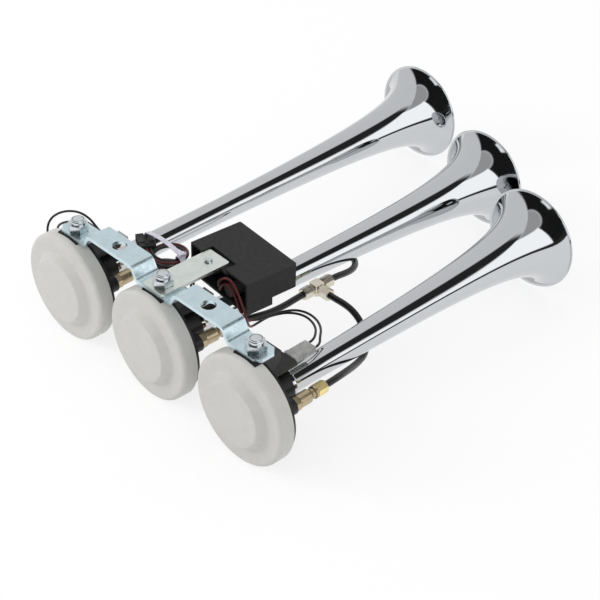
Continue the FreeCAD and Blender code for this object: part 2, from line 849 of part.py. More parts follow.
def make_case():
    """Black controller case: stepped underside, open front, notch for the plate and a lug."""
    case = new_body("controller_case")
    side = section(case, "x", "-case_left")
    low = "case_rise - case_height"
    back_low = "case_rise - case_back_height"
    outline(side, [
        ("case_front", low), ("case_step", low), ("case_step", back_low),
        ("case_back", back_low), ("case_back", "case_rise"), ("case_front", "case_rise"),
    ])
    shell = extrude(case, "x", side, "case_left + case_right")
    back = value("case_back")
    dress(case, "Fillet", shell, lambda edge: upright(edge) and abs(edge.CenterOfMass.y - back) < 0.01,
          "case_corner")

    hollow = section(case, "x", "-case_left + case_wall")
    outline(hollow, [
        ("case_front - 1", f"{low} + case_wall"), ("case_step - case_wall", f"{low} + case_wall"),
        ("case_step - case_wall", f"{back_low} + case_wall"),
        ("case_back - case_wall", f"{back_low} + case_wall"),
        ("case_back - case_wall", "-case_wall"), ("case_front - 1", "-case_wall"),
    ])
    extrude(case, "x", hollow, "case_left + case_right - 2*case_wall", cut=True)

    roof = section(case, "z", "-case_wall")
    outline(roof, [
        ("-case_left + case_wall", "case_front - 1"), ("-case_notch_left - case_wall", "case_front - 1"),
        ("-case_notch_left - case_wall", "case_notch_back + case_wall"),
        ("case_notch_right + case_wall", "case_notch_back + case_wall"),
        ("case_notch_right + case_wall", "case_front - 1"), ("case_right - case_wall", "case_front - 1"),
        ("case_right - case_wall", "case_back - case_wall"),
        ("-case_left + case_wall", "case_back - case_wall"),
    ])
    extrude(case, "z", roof, "case_rise", cut=True)

    notch = section(case, "z")
    box(notch, "-case_notch_left", "case_notch_right", "case_front - 1", "case_notch_back")
    extrude(case, "z", notch, "case_rise + 1", cut=True)

    lug = section(case, "z", "-lug_thickness")
    box(lug, "-lug_half", "lug_half", "-lug_reach", "case_front + case_wall")
    extrude(case, "z", lug, "lug_thickness")
    hole = section(case, "z", "-lug_thickness - 1")
    circle(hole, "screw_radius + round_gap")
    extrude(case, "z", hole, "lug_thickness + 2", cut=True)
    stand_on_case(case)


BOARD_FRONT = "(case_step - case_wall - board_gap - board_thickness)"


def make_board():
    """Circuit board that stands upright behind the case's open front."""
    board = new_body("controller_board")
    face = section(board, "y", BOARD_FRONT)
    box(face, "-case_left + case_wall + board_gap", "case_right - case_wall - board_gap",
        "case_rise - case_height + case_wall", "-case_wall - board_gap")
    extrude(board, "y", face, "board_thickness")
    stand_on_case(board)


def make_capacitor():
    """Round grey can on the case's floor, from the board to the open front."""
    can = new_body("controller_capacitor")
    face = section(can, "y", "capacitor_along")
    circle(face, "capacitor_radius")
    body = extrude(can, "y", face, f"{BOARD_FRONT} - capacitor_along")
    dress(can, "Fillet", body, ring_at("y", "capacitor_along", "capacitor_radius"), "board_thickness/2")
    stand_on_case(can, "capacitor_across", "0", "case_rise - case_height + case_wall + capacitor_radius")


def make_plate_screw():
    """Pan head screw through plate and lug."""
    screw = new_body("plate_screw")
    profile = section(screw, "y")
    outline(profile, [
        ("0", "-screw_length"), ("screw_radius", "-screw_length"), ("screw_radius", "plate_thickness"),
        ("screw_head_radius", "plate_thickness"),
        ("screw_head_radius", "plate_thickness + screw_head_height/2"),
        ("screw_head_radius*2/3", "plate_thickness + screw_head_height"),
        ("0", "plate_thickness + screw_head_height"),
    ])
    revolve(screw, profile)
    stand_on_case(screw)


def cord(label, route, diameter):
    """Round cord along straight runs joined by tangent arcs."""
    edges = []
    radii = []
    start = route[0]
    length = 0
    for before, corner, after in zip(route, route[1:], route[2:]):
        arriving = (corner - before).normalize()
        leaving = (after - corner).normalize()
        turn = arriving.getAngle(leaving)
        reach = ARC_SHARE * min((corner - before).Length, (after - corner).Length)
        radius = reach / math.tan(turn / 2)
        towards = (leaving - arriving).normalize()
        first = corner - arriving * reach
        last = corner + leaving * reach
        middle = corner + towards * (radius / math.cos(turn / 2) - radius)
        edges.append(Part.LineSegment(start, first).toShape())
        edges.append(Part.Arc(first, middle, last).toShape())
        radii.append(radius)
        length += (first - start).Length + radius * turn
        start = last
    edges.append(Part.LineSegment(start, route[-1]).toShape())
    length += (route[-1] - start).Length
    ring = Part.Circle(route[0], route[1] - route[0], diameter / 2)
    shape = Part.Wire(edges).makePipeShell([Part.Wire(ring.toShape())], True, False)
    share = shape.Volume / (math.pi * diameter ** 2 / 4 * length)
    least = min(radii)
    print(f"{label}: length {length:.1f}, smallest radius {least / diameter:.1f} diameters "
          f"at corner {radii.index(least) + 1}, volume {share:.3f} of section times length")
    return new_feature(label, shape)


def from_axes(*places):
    """Points whose heights are counted from the horn axes."""
    drop = value(AXIS_DROP)
    return [FreeCAD.Vector(across, along, up - drop) for across, along, up in places]


def union_start(horn):
    """First two points of a hose: where it seats in the union, and where it is free."""
    free = "union_collar_end + hose_nut_length + hose_diameter"
    return [
        horn.point("union_across", "union_collar_end + thread_length", "union_up"),
        horn.point("union_across", free, "union_up"),
    ]


def tee_end(across, along):
    """Last two points of a hose at a leg of the air fitting, pointing out of it."""
    reach = value(TEE_LEG)
    free = value("tee_half + tee_nut_gap + hose_nut_length + hose_diameter")
    centre = FreeCAD.Vector(value("tee_across"), value("tee_along"), -value(AXIS_DROP))
    way = FreeCAD.Vector(across, along, 0)
    return [centre + way * free, centre + way * reach]


def make_hoses():
    """Black air hoses from the three unions to the air fitting."""
    diameter = value("hose_diameter")
    middle = union_start(MIDDLE)
    middle += from_axes((26, 57.5, 2.2), (28.2, 69.5, 0.9), (28.6, 83, 0.1))
    cord("middle_hose", middle + tee_end(0, -1), diameter)
    right = union_start(RIGHT)
    right += from_axes(
        (109.8, 58, 1.5), (105.2, 69.5, -3.5), (100.2, 80.5, -8.6), (95.9, 90, -12.2),
        (92, 98.7, -14), (86, 106.8, -14.2), (78, 113.5, -12), (69.6, 117.6, -8),
        (61.8, 118, -3.6), (54.6, 116.8, -0.9))
    cord("right_hose", right + tee_end(1, 0), diameter)
    left = union_start(LEFT)
    left += from_axes(
        (-66.5, 56.5, 1.2), (-60.5, 68, -3.8), (-51.5, 79, -10.2), (-42.5, 90.5, -17.2),
        (-35.5, 104, -23.6), (-31.5, 118.5, -28.2), (-30.5, 132.5, -30.6), (-31.5, 145.5, -30.4),
        (-30.2, 157.5, -27.6), (-24.6, 167.6, -23.6), (-15.4, 174.6, -19.8), (-4.4, 177, -17),
        (7, 174.6, -14.4), (16.2, 167, -11.2), (22.8, 156.8, -7.4), (26.4, 145.6, -3.4))
    cord("left_hose", left + tee_end(0, 1), diameter)


def boot_back(side, spread):
    """Two points of a wire that leaves the right boot at its back."""
    across = f"blade_middle {side} wire_pitch/2"
    back = "ledge_back + notch_gap + boot_length"
    height = "ledge_top - ledge_thickness/2"
    return [RIGHT.point(across, back, height), RIGHT.point(across, f"{back} + {spread}", height)]


def boot_side(horn, along, spread):
    """Two points of a wire that leaves a boot at its left side."""
    across = "blade_middle - boot_width/2"
    height = "ledge_top - ledge_thickness/2"
    behind = f"ledge_back + {along}"
    return [horn.point(across, behind, height), horn.point(f"{across} - {spread}", behind, height)]


def board_end(across, up):
    """Last two points of a wire that ends square on the board."""
    front = value(BOARD_FRONT)
    return [case_point(across, front - WIRE_STRAIGHT, up), case_point(across, front, up)]


def make_wires():
    """Thin pairs from the case to the boots of the three horns."""
    thin = value("wire_diameter")
    outer = boot_back("+", 5)
    outer += from_axes(
        (86.6, 60.6, 18.2), (80.6, 67.6, 17), (73, 73, 16), (64, 76.4, 14.6), (54.8, 77.4, 12.8),
        (45.9, 75.6, 10.4), (39, 69.2, 7.6), (35.4, 60.8, 5.6), (35.2, 51.6, 5), (37.8, 43.6, 7.4),
        (41, 38.4, 13.6), (41.4, 36, 21.4), (38.8, 35.4, 29.2), (35.2, 35.2, 36.4),
        (31, 35.2, 42.6), (25.2, 35.2, 45), (19, 34.8, 42.2), (14.6, 35.2, 36.8), (12.6, 37.6, 31))
    outer += [case_point(9.8, 4.8, -14.6), case_point(9.4, 10.4, -13.4)] + board_end(9, -13.4)
    cord("right_wire_a", outer, thin)
    inner = boot_back("-", 5)
    inner += from_axes(
        (82.4, 60.6, 18), (76.2, 66.8, 16.6), (68.8, 71, 15.2), (60, 73.4, 13.8), (51, 73, 11.6),
        (43.8, 69.4, 9.8), (39.4, 62.8, 8.6), (37.4, 54.8, 8.8), (36.8, 46.8, 10.8), (36, 40.4, 15.2),
        (34.6, 37.2, 21.4), (32.6, 36.4, 27.6), (30.4, 36, 33.2), (27.2, 35.9, 37.4), (22.6, 35.8, 38.8),
        (18.4, 35.8, 36.4), (15.2, 36.4, 32), (12.6, 38.2, 27.6))
    inner += [case_point(9.8, 3.6, -17.2), case_point(9.4, 10, -17.8)] + board_end(9.2, -17.8)
    cord("right_wire_b", inner, thin)
    wide = from_axes(
        (-108.4, 34, 14), (-114.2, 30, 5), (-121.4, 24.2, -2), (-129.8, 18, -5.6),
        (-138.4, 13, -3), (-143.4, 11, 4.4), (-145.2, 12.2, 12), (-143.8, 15.6, 18.6),
        (-138.4, 19.4, 23.9), (-130.4, 22.4, 27.9), (-121.2, 24.6, 30.1), (-112.4, 26, 28.9),
        (-105, 26.4, 24.8), (-97, 25.4, 22.6), (-87.6, 23.6, 23.4), (-77.4, 19.4, 25.4),
        (-65.6, 15.8, 27), (-53.6, 17, 28), (-42.6, 22.6, 27.8), (-33, 29.4, 27.2),
        (-25.6, 36.6, 27))
    route = boot_side(LEFT, "6.5", 7) + wide
    route += [case_point(-19.6, 3, -16), case_point(-17.8, 9, -15.8)] + board_end(-17.2, -15.8)
    cord("left_wire_a", route, thin)
    close = from_axes(
        (-106.8, 30.4, 13), (-111.6, 26.6, 5), (-118, 21.4, -0.6), (-125.6, 16.6, -1.4),
        (-132, 13.6, 3.4), (-135, 12.8, 10.6), (-133.2, 13.2, 17.8), (-127.8, 14.2, 22.8),
        (-121, 15.8, 26.4), (-113.2, 17.8, 28), (-105.2, 19.2, 27.4), (-96.6, 19.4, 26),
        (-87.2, 18.4, 26.2), (-76.8, 15.2, 28), (-65, 11.8, 30), (-53, 12.8, 30.8), (-42, 18, 29.6),
        (-32.6, 26, 28.4), (-25, 32.4, 27.6))
    route = boot_side(LEFT, "2.5", 5) + close
    route += [case_point(-18.6, -0.4, -14), case_point(-16.2, 5.6, -12.6)]
    route += [case_point(-14.8, 10.8, -12.2)] + board_end(-14.6, -12.2)
    cord("left_wire_b", route, thin)
    route = boot_side(MIDDLE, "2", 4)
    route += from_axes((-12.4, 33.8, 20.5), (-13.8, 37.8, 24.3))
    route += [case_point(-13.6, 3, -15.4), case_point(-11.8, 9, -14.4)] + board_end(-11, -14.4)
    cord("middle_wire_a", route, thin)
    route = boot_side(MIDDLE, "4.8", 6) + from_axes((-14.8, 38.6, 21.9))
    route += [case_point(-15.4, 4.2, -17.8), case_point(-13.4, 10, -17.4)] + board_end(-12.8, -17.4)
    cord("middle_wire_b", route, thin)


def loop_point(radius, angle):
    """Point of the leads' loop; it falls evenly along its turns."""
    turn = math.radians(angle)
    share = (angle - LOOP_JOIN) / 360
    return FreeCAD.Vector(
        value("loop_across") + radius * math.cos(turn),
        value("loop_along") + radius * math.sin(turn),
        value("loop_top") - value("loop_fall") * share - value(AXIS_DROP),
    )


def plug_direction():
    """Direction in which the leads leave the plug."""
    join = math.radians(LOOP_JOIN)
    return FreeCAD.Vector(-math.sin(join), math.cos(join), 0)


def lead_route(side):
    """Route of one power lead from the plug round the loop into the case."""
    half = side * value("lead_pitch") / 2
    radius = value("loop_radius") + half
    join = loop_point(radius, LOOP_JOIN)
    route = [join - plug_direction() * value("plug_run"), join]
    step = (LOOP_LEAVE - LOOP_JOIN) / LOOP_POINTS
    route += [loop_point(radius, LOOP_JOIN + step * i) for i in range(1, LOOP_POINTS + 1)]
    inside = value("case_wall - case_left + lead_inset") + half
    up = -value("lead_depth")
    front = value("case_front")
    board = value(BOARD_FRONT)
    route += [case_point(inside + aside, front + behind, up) for aside, behind in LEAD_ENTRY]
    route += [case_point(inside + LEAD_ASIDE, board - ahead, up) for ahead in (LEAD_STRAIGHT, 0)]
    return route


def make_leads():
    """Red and black power leads, from the plug round the loop to the board."""
    thick = value("lead_diameter")
    cord("lead_red", lead_route(1), thick)
    cord("lead_black", lead_route(-1), thick)


def make_plug():
    """Two-prong plug at the free end of the leads."""
    plug = new_body("lead_plug")
    block = section(plug, "y")
    box(block, "-plug_width/2", "plug_width/2", "-plug_height/2", "plug_height/2")
    extrude(plug, "y", block, "plug_length")
    slots = section(plug, "y", "plug_length - plug_depth")
    side = "plug_width/2 - plug_wall"
    for low, high in ((f"-({side})", "-plug_wall/2"), ("plug_wall/2", side)):
        box(slots, low, high, "-plug_height/2 + plug_wall", "plug_height/2 - plug_wall")
    extrude(plug, "y", slots, "plug_depth + 1", cut=True)
    gap = section(plug, "y", "plug_length - plug_depth")
    box(gap, "-plug_wall/2", "plug_wall/2", "-plug_height/2 - 1", "plug_height/2 + 1")
    extrude(plug, "y", gap, "plug_depth + 1", cut=True)
    join = f"({LOOP_JOIN})"
    stand(plug, f"loop_across + loop_radius*cos{join} + plug_run*sin{join}",
          f"loop_along + loop_radius*sin{join} - plug_run*cos{join}",
          f"loop_top - {AXIS_DROP}", f"180 - {LOOP_JOIN}")


def make_tie():
    """Cable tie: band round the loop's first turn and the leads that leave it, head and free tail."""
    tie = new_body("cable_tie")
    band = section(tie, "y", "-tie_width/2")
    circle(band, "tie_radius + tie_thickness")
    circle(band, "tie_radius")
    extrude(tie, "y", band, "tie_width")
    head = section(tie, "y", "-tie_width/2")
    box(head, "-tie_head/4", "3*tie_head/4", "tie_radius", "tie_radius + tie_head")
    extrude(tie, "y", head, "tie_width")
    drift = "tie_tail*tan(tie_skew)"
    tail = section(tie, "y", f"-tie_width/2 - {drift}")
    root = "(tie_radius + tie_head/2 - tie_thickness/2)"
    bows = (("tie_tail/4", "2*tie_bow/3"), ("2*tie_tail/3", "tie_bow"), ("tie_tail", "2*tie_bow/3"))
    under = [(f"-{reach}", f"{root} + {bow}") for reach, bow in bows]
    over = [(reach, f"{height} + tie_thickness") for reach, height in reversed(under)]
    outline(tail, [("tie_head/2", root)] + under + over + [("tie_head/2", f"{root} + tie_thickness")])
    extrude(tie, "y", tail, f"tie_width + {drift}")
    beside = section(tie, "z", "tie_radius + tie_thickness")
    fold = "-tie_head/4"
    tip = "-2*tie_tail"
    slant = "(2*tie_tail - tie_head/4)*tan(tie_skew)"
    outline(beside, [
        ("tie_head", "-tie_width/2"), (fold, "-tie_width/2"), (tip, f"-tie_width/2 - {slant}"),
        (tip, f"-2*tie_width - {slant}"), ("tie_head", f"-2*tie_width - {slant}"),
    ])
    outline(beside, [
        (fold, "tie_width/2"), (fold, "tie_width"), (tip, "tie_width"), (tip, f"tie_width/2 - {slant}"),
    ])
    extrude(tie, "z", beside, "2*tie_head", cut=True)
    red = lead_route(1)
    black = lead_route(-1)
    start = (red[-5] + black[-5]) * 0.5
    run = (red[-4] + black[-4]) * 0.5 - start
    above = loop_point(value("loop_radius"), TIE_TURN)
    below = start + run * ((above.y - start.y) / run.y)
    tie.Placement = FreeCAD.Placement(
        (above + below) * 0.5,
        FreeCAD.Rotation(FreeCAD.Vector(0, 1, 0), FreeCAD.Vector(run.x, run.y, 0)))


make_strip()
for each in HORNS:
    make_cap(each)
    make_diaphragm(each)
    make_housing(each)
    make_ledge(each)
    make_trumpet(each)
    make_stud(each)
    make_nut(each)
    make_blades(each)
    make_boot(each, "boot_length" if each is RIGHT else "side_boot_length")
    make_union(each)
    make_union_nut(each)
make_tee()
make_tee_nut("tee_nut_front", "180")
make_tee_nut("tee_nut_back", "0")
make_tee_nut("tee_nut_side", "90")
make_plate()
make_case()
make_board()
make_capacitor()
make_plate_screw()
make_hoses()
make_wires()
make_leads()
make_plug()
make_tie()
doc.recompute()

for item in doc.Objects:
    if "Invalid" in item.State or "Error" in item.State:
        raise ValueError(f"{item.Label} did not recompute")
for node in nodes:
    if node.Shape.isNull() or not node.Shape.isValid():
        raise ValueError(f"{node.Label} has no valid shape")

os.makedirs("parts", exist_ok=True)
for node in nodes:
    node.Shape.exportStep(os.path.join("parts", node.Label + ".step"))
    print(node.Label, len(node.Shape.Solids), round(node.Shape.Volume, 1))
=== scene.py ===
import math

import bpy
from mathutils import Matrix, Vector


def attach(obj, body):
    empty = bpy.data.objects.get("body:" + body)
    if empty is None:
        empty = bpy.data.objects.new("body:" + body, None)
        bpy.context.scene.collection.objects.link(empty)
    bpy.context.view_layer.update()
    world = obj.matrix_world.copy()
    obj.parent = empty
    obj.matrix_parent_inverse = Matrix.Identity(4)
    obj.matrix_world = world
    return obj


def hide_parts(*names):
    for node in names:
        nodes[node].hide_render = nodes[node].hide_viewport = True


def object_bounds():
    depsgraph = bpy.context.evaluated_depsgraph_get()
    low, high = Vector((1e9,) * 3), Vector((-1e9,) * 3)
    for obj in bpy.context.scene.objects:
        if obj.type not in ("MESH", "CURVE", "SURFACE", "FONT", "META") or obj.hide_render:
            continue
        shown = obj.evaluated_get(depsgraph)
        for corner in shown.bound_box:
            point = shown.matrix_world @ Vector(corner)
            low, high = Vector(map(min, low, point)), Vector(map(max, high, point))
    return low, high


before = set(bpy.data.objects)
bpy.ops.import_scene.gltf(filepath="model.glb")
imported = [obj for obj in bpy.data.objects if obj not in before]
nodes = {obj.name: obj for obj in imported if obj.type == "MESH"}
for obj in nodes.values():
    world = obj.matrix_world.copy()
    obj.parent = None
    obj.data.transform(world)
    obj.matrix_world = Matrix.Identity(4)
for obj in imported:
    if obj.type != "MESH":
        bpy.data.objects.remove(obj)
cad_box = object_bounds()

MM = 0.001
# Height of the horn axes in the frame, in millimetres; places below are counted from them
AXIS = -52
SIDES = ("left", "middle", "right")
# Place of a horn across, its turn in degrees, and how far its rim reaches behind the origin
HORN_X = {"left": -90, "middle": 0, "right": 90}
HORN_TURN = {"left": 0, "middle": 2.28, "right": 0}
RIM_REACH = {"left": 348.5, "middle": 311.7, "right": 274.9}


def point(across, along, up):
    """Place in the frame, in metres, from millimetres counted from the horn axes."""
    return Vector((across * MM, along * MM, (up + AXIS) * MM))


def srgb(red, green, blue):
    """Shader colour of a shade as it looks on a screen, 0 to 255."""
    def line(value):
        share = value / 255
        return share / 12.92 if share <= 0.04045 else ((share + 0.055) / 1.055) ** 2.4
    return (line(red), line(green), line(blue), 1)


# Camera

# Angles in degrees, place in millimetres counted from the horn axes
CAMERA_AZIMUTH = 45.246
CAMERA_HEIGHT = 36.623
CAMERA_ROLL = 1.445
CAMERA_PLACE = (705.75, -572.72, 706.33)
# Lens and sensor in millimetres, and how far the camera sees in metres
CAMERA_LENS = 102.23
SENSOR_WIDTH = 36
SIGHT = 20


def place_camera():
    """Camera at the photograph's angle and distance."""
    around = math.radians(CAMERA_AZIMUTH)
    above = math.radians(CAMERA_HEIGHT)
    level = math.cos(above)
    back = Vector((level * math.sin(around), -level * math.cos(around), math.sin(above)))
    side = Vector((math.cos(around), math.sin(around), 0))
    roll = Matrix.Rotation(math.radians(CAMERA_ROLL), 3, "Z")
    turn = Matrix((side, back.cross(side), back)).transposed() @ roll
    lens = bpy.data.cameras.new("camera")
    lens.lens = CAMERA_LENS
    lens.sensor_width = SENSOR_WIDTH
    lens.clip_end = SIGHT
    camera = bpy.data.objects.new("camera", lens)
    bpy.context.scene.collection.objects.link(camera)
    camera.matrix_world = Matrix.Translation(point(*CAMERA_PLACE)) @ turn.to_4x4()
    bpy.context.scene.camera = camera


# Materials

# Part of a noise pattern's span that is put to use
PATTERN_LOW = 0.3
PATTERN_HIGH = 0.7
# Scale of a pattern along each axis: even, drawn out in rolling lines, or in thin layers
PLAIN = (1, 1, 1)
ROLLED = (0.05, 1, 1)
LAYERED = (1, 1, 4)


class Finish:
    """A material: its shader's sockets, and patterns whose sizes are in millimetres."""

    def __init__(self, name, colour, roughness, metallic=0.0):
        self.material = bpy.data.materials.new(name)
        self.material.use_nodes = True
        self.tree = self.material.node_tree
        self.shader = self.tree.nodes["Principled BSDF"]
        self.set("Base Color", colour)
        self.set("Roughness", roughness)
        self.set("Metallic", metallic)

    def set(self, socket, value):
        """Sets a socket of the shader."""
        self.shader.inputs[socket].default_value = value

    def link(self, source, target):
        """Joins two sockets."""
        self.tree.links.new(source, target)

    def noise(self, size, detail, stretch):
        """Pattern whose patches are about size wide."""
        place = self.tree.nodes.new("ShaderNodeTexCoord")
        mapping = self.tree.nodes.new("ShaderNodeMapping")
        mapping.inputs["Scale"].default_value = stretch
        noise = self.tree.nodes.new("ShaderNodeTexNoise")
        noise.inputs["Scale"].default_value = 1 / (size * MM)
        noise.inputs["Detail"].default_value = detail
        self.link(place.outputs["Object"], mapping.inputs["Vector"])
        self.link(mapping.outputs["Vector"], noise.inputs["Vector"])
        return noise.outputs["Fac"]

    def gloss(self, low, high, patch, detail=3.0):
        """Lets the roughness wander between two values."""
        spread = self.tree.nodes.new("ShaderNodeMapRange")
        spread.inputs["From Min"].default_value = PATTERN_LOW
        spread.inputs["From Max"].default_value = PATTERN_HIGH
        spread.inputs["To Min"].default_value = low
        spread.inputs["To Max"].default_value = high
        self.link(self.noise(patch, detail, PLAIN), spread.inputs["Value"])
        self.link(spread.outputs["Result"], self.shader.inputs["Roughness"])

    def mottle(self, dark, light, patch, detail=3.0, stretch=PLAIN):
        """Blends the base colour between two shades."""
        ramp = self.tree.nodes.new("ShaderNodeValToRGB")
        ends = ((PATTERN_LOW, dark), (PATTERN_HIGH, light))
        for stop, (position, colour) in zip(ramp.color_ramp.elements, ends):
            stop.position = position
            stop.color = colour
        self.link(self.noise(patch, detail, stretch), ramp.inputs["Fac"])
        self.link(ramp.outputs["Color"], self.shader.inputs["Base Color"])

    def grain(self, height, size, detail=3.0, stretch=PLAIN):
        """Raises the surface by a fine relief."""
        bump = self.tree.nodes.new("ShaderNodeBump")
        bump.inputs["Distance"].default_value = height * MM
        bump.inputs["Strength"].default_value = 1
        self.link(self.noise(size, detail, stretch), bump.inputs["Height"])
        self.link(bump.outputs["Normal"], self.shader.inputs["Normal"])


def share_of(shade, share):
    """A shade made darker."""
    return srgb(*(value * share for value in shade))


def pale_plastic():
    """Pale grey moulded plastic of the caps, with a fine grain."""
    finish = Finish("cap_plastic", srgb(214, 213, 208), 0.4)
    finish.mottle(srgb(212, 211, 206), srgb(217, 216, 212), patch=6, detail=5)
    finish.gloss(0.34, 0.46, patch=2.2)
    finish.grain(height=0.01, size=0.35)
    return finish.material


def moulded_plastic(name, shade, roughness, size):
    """Moulded plastic with a fine grain."""
    finish = Finish(name, srgb(*shade), roughness)
    finish.mottle(share_of(shade, 0.85), srgb(*shade), patch=5, detail=5)
    finish.gloss(roughness - 0.06, roughness + 0.06, patch=1.7)
    finish.set("Specular IOR Level", 0.4)
    finish.grain(height=0.02, size=size)
    return finish.material


def zinc(name, shade, roughness):
    """Zinc plated steel: faintly blue, with cloudy gloss and rolling lines."""
    finish = Finish(name, srgb(*shade), roughness, metallic=1.0)
    finish.mottle(share_of(shade, 0.95), srgb(*shade), patch=7, detail=6)
    finish.gloss(roughness - 0.07, roughness + 0.07, patch=3, detail=5)
    finish.grain(height=0.003, size=0.5, stretch=ROLLED)
    return finish.material


def chrome():
    """Polished chrome plate with barely uneven gloss."""
    finish = Finish("trumpet_chrome", (0.59, 0.607, 0.625, 1), 0.05, metallic=1.0)
    finish.gloss(0.03, 0.075, patch=14, detail=4)
    finish.grain(height=0.012, size=26, detail=1.5)
    return finish.material


def turned_metal(name, shade, roughness):
    """Machined and plated brass with faint turning marks."""
    finish = Finish(name, srgb(*shade), roughness, metallic=1.0)
    finish.mottle(share_of(shade, 0.94), srgb(*shade), patch=4)
    finish.gloss(roughness - 0.05, roughness + 0.06, patch=2)
    finish.grain(height=0.002, size=0.8)
    return finish.material


def rubber(name, shade, roughness):
    """Extruded rubber or insulation with a soft sheen."""
    finish = Finish(name, srgb(*shade), roughness)
    finish.mottle(share_of(shade, 0.8), srgb(*shade), patch=3, detail=5)
    finish.gloss(roughness - 0.08, roughness + 0.08, patch=1.5)
    finish.grain(height=0.008, size=0.4)
    return finish.material


# How far behind the origin the twin wires are red, and half the length over which they turn black
TWIN_RED_END = 48
TWIN_BLEND = 2


def twin_wire():
    """Thin wire whose insulation is dark red near the case and black beyond it."""
    black = srgb(24, 24, 25)
    finish = Finish("wire_twin", black, 0.36)
    tree = finish.tree
    place = tree.nodes.new("ShaderNodeTexCoord")
    split = tree.nodes.new("ShaderNodeSeparateXYZ")
    finish.link(place.outputs["Object"], split.inputs[0])
    behind = tree.nodes.new("ShaderNodeMapRange")
    behind.inputs["From Min"].default_value = (TWIN_RED_END - TWIN_BLEND) * MM
    behind.inputs["From Max"].default_value = (TWIN_RED_END + TWIN_BLEND) * MM
    finish.link(split.outputs["Y"], behind.inputs["Value"])
    blend = tree.nodes.new("ShaderNodeMix")
    blend.data_type = "RGBA"
    blend.inputs["A"].default_value = srgb(92, 30, 30)
    blend.inputs["B"].default_value = black
    finish.link(behind.outputs["Result"], blend.inputs["Factor"])
    finish.link(blend.outputs["Result"], finish.shader.inputs["Base Color"])
    finish.grain(height=0.008, size=0.4)
    return finish.material


def nylon():
    """Milky nylon of the cable tie."""
    finish = Finish("tie_nylon", srgb(226, 222, 236), 0.32)
    finish.set("Subsurface Weight", 0.3)
    finish.set("Subsurface Radius", (0.002, 0.002, 0.002))
    finish.mottle(srgb(216, 212, 229), srgb(232, 229, 240), patch=3)
    finish.grain(height=0.005, size=0.5)
    return finish.material


def laminate():
    """Green lacquered circuit board."""
    finish = Finish("board_laminate", srgb(28, 62, 40), 0.3)
    finish.mottle(srgb(22, 52, 34), srgb(40, 84, 54), patch=1.6, detail=6, stretch=LAYERED)
    finish.grain(height=0.02, size=0.8)
    return finish.material


CAP = pale_plastic()
HOUSING = moulded_plastic("housing_plastic", (30, 30, 32), 0.42, 0.6)
CASE = moulded_plastic("case_plastic", (38, 38, 39), 0.6, 0.5)
PLUG = moulded_plastic("plug_plastic", (26, 26, 28), 0.4, 0.5)
BOOT = moulded_plastic("boot_plastic", (184, 184, 182), 0.35, 0.7)
CAN = moulded_plastic("can_sleeve", (96, 92, 88), 0.35, 0.8)
STRIP = zinc("strip_zinc", (212, 231, 238), 0.31)
STUD = zinc("stud_zinc", (218, 224, 228), 0.2)
PLATE = zinc("plate_zinc", (230, 236, 231), 0.38)
STEEL = zinc("diaphragm_steel", (170, 170, 172), 0.3)
CHROME = chrome()
UNION = turned_metal("union_brass", (196, 180, 148), 0.34)
GOLD = turned_metal("nut_brass", (252, 232, 168), 0.4)
TEE = turned_metal("tee_brass", (226, 220, 204), 0.28)
BLADE = turned_metal("blade_brass", (214, 186, 120), 0.3)
HOSE = rubber("hose_rubber", (20, 20, 21), 0.34)
WIRE = rubber("wire_black", (24, 24, 25), 0.38)
TWIN = twin_wire()
RED = rubber("lead_red", (96, 24, 26), 0.36)
NYLON = nylon()
BOARD = laminate()

# Finish of a node by its whole name, or by the part of a horn that it is
FINISH_OF = {
    "mounting_strip": STRIP, "controller_plate": PLATE, "controller_case": CASE,
    "controller_board": BOARD, "controller_capacitor": CAN, "plate_screw": STUD,
    "tee_body": TEE, "tee_nut_front": TEE, "tee_nut_back": TEE, "tee_nut_side": TEE,
    "lead_plug": PLUG, "cable_tie": NYLON, "lead_red": RED, "lead_black": WIRE,
}
FINISH_OF_PART = {
    "cap": CAP, "diaphragm": STEEL, "housing": HOUSING, "ledge": HOUSING, "pipe": CHROME,
    "bell": CHROME, "stud": STUD, "nut": STUD, "blades": BLADE, "boot": BOOT, "union": UNION,
    "union_nut": GOLD, "hose": HOSE, "wire_a": WIRE, "wire_b": WIRE,
}


def finish_nodes():
    """Gives every carried-over node its own finish."""
    for name, node in nodes.items():
        finish = FINISH_OF.get(name) or FINISH_OF_PART[name.split("_", 1)[1]]
        node.data.materials.clear()
        node.data.materials.append(finish)


def dress(piece, name, finish):
    """Gives a finished piece its name, finish and body."""
    piece.name = name
    piece.data.name = name
    piece.data.materials.clear()
    piece.data.materials.append(finish)
    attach(piece, "root")


# Shaping

# Points closer than this, in metres, are joined after turning
SEAM = 0.00001
# How alike two directions are, as their cosine, for a face to count as pointing that way
ALIKE = 0.9
# Angles in degrees over which an edge is rounded, and stays sharp in the shading
SHARP = 40
BLOCK_SMOOTH = 50
TURNED_SMOOTH = 35


def take(*pieces):
    """Selects these pieces alone and makes the first the active one."""
    bpy.ops.object.select_all(action="DESELECT")
    for piece in pieces:
        piece.select_set(True)
    bpy.context.view_layer.objects.active = pieces[0]


def extrude(across, along, up):
    """Extrudes what is selected, in millimetres."""
    step = (across * MM, along * MM, up * MM)
    bpy.ops.mesh.extrude_region_move(TRANSFORM_OT_translate={"value": step})


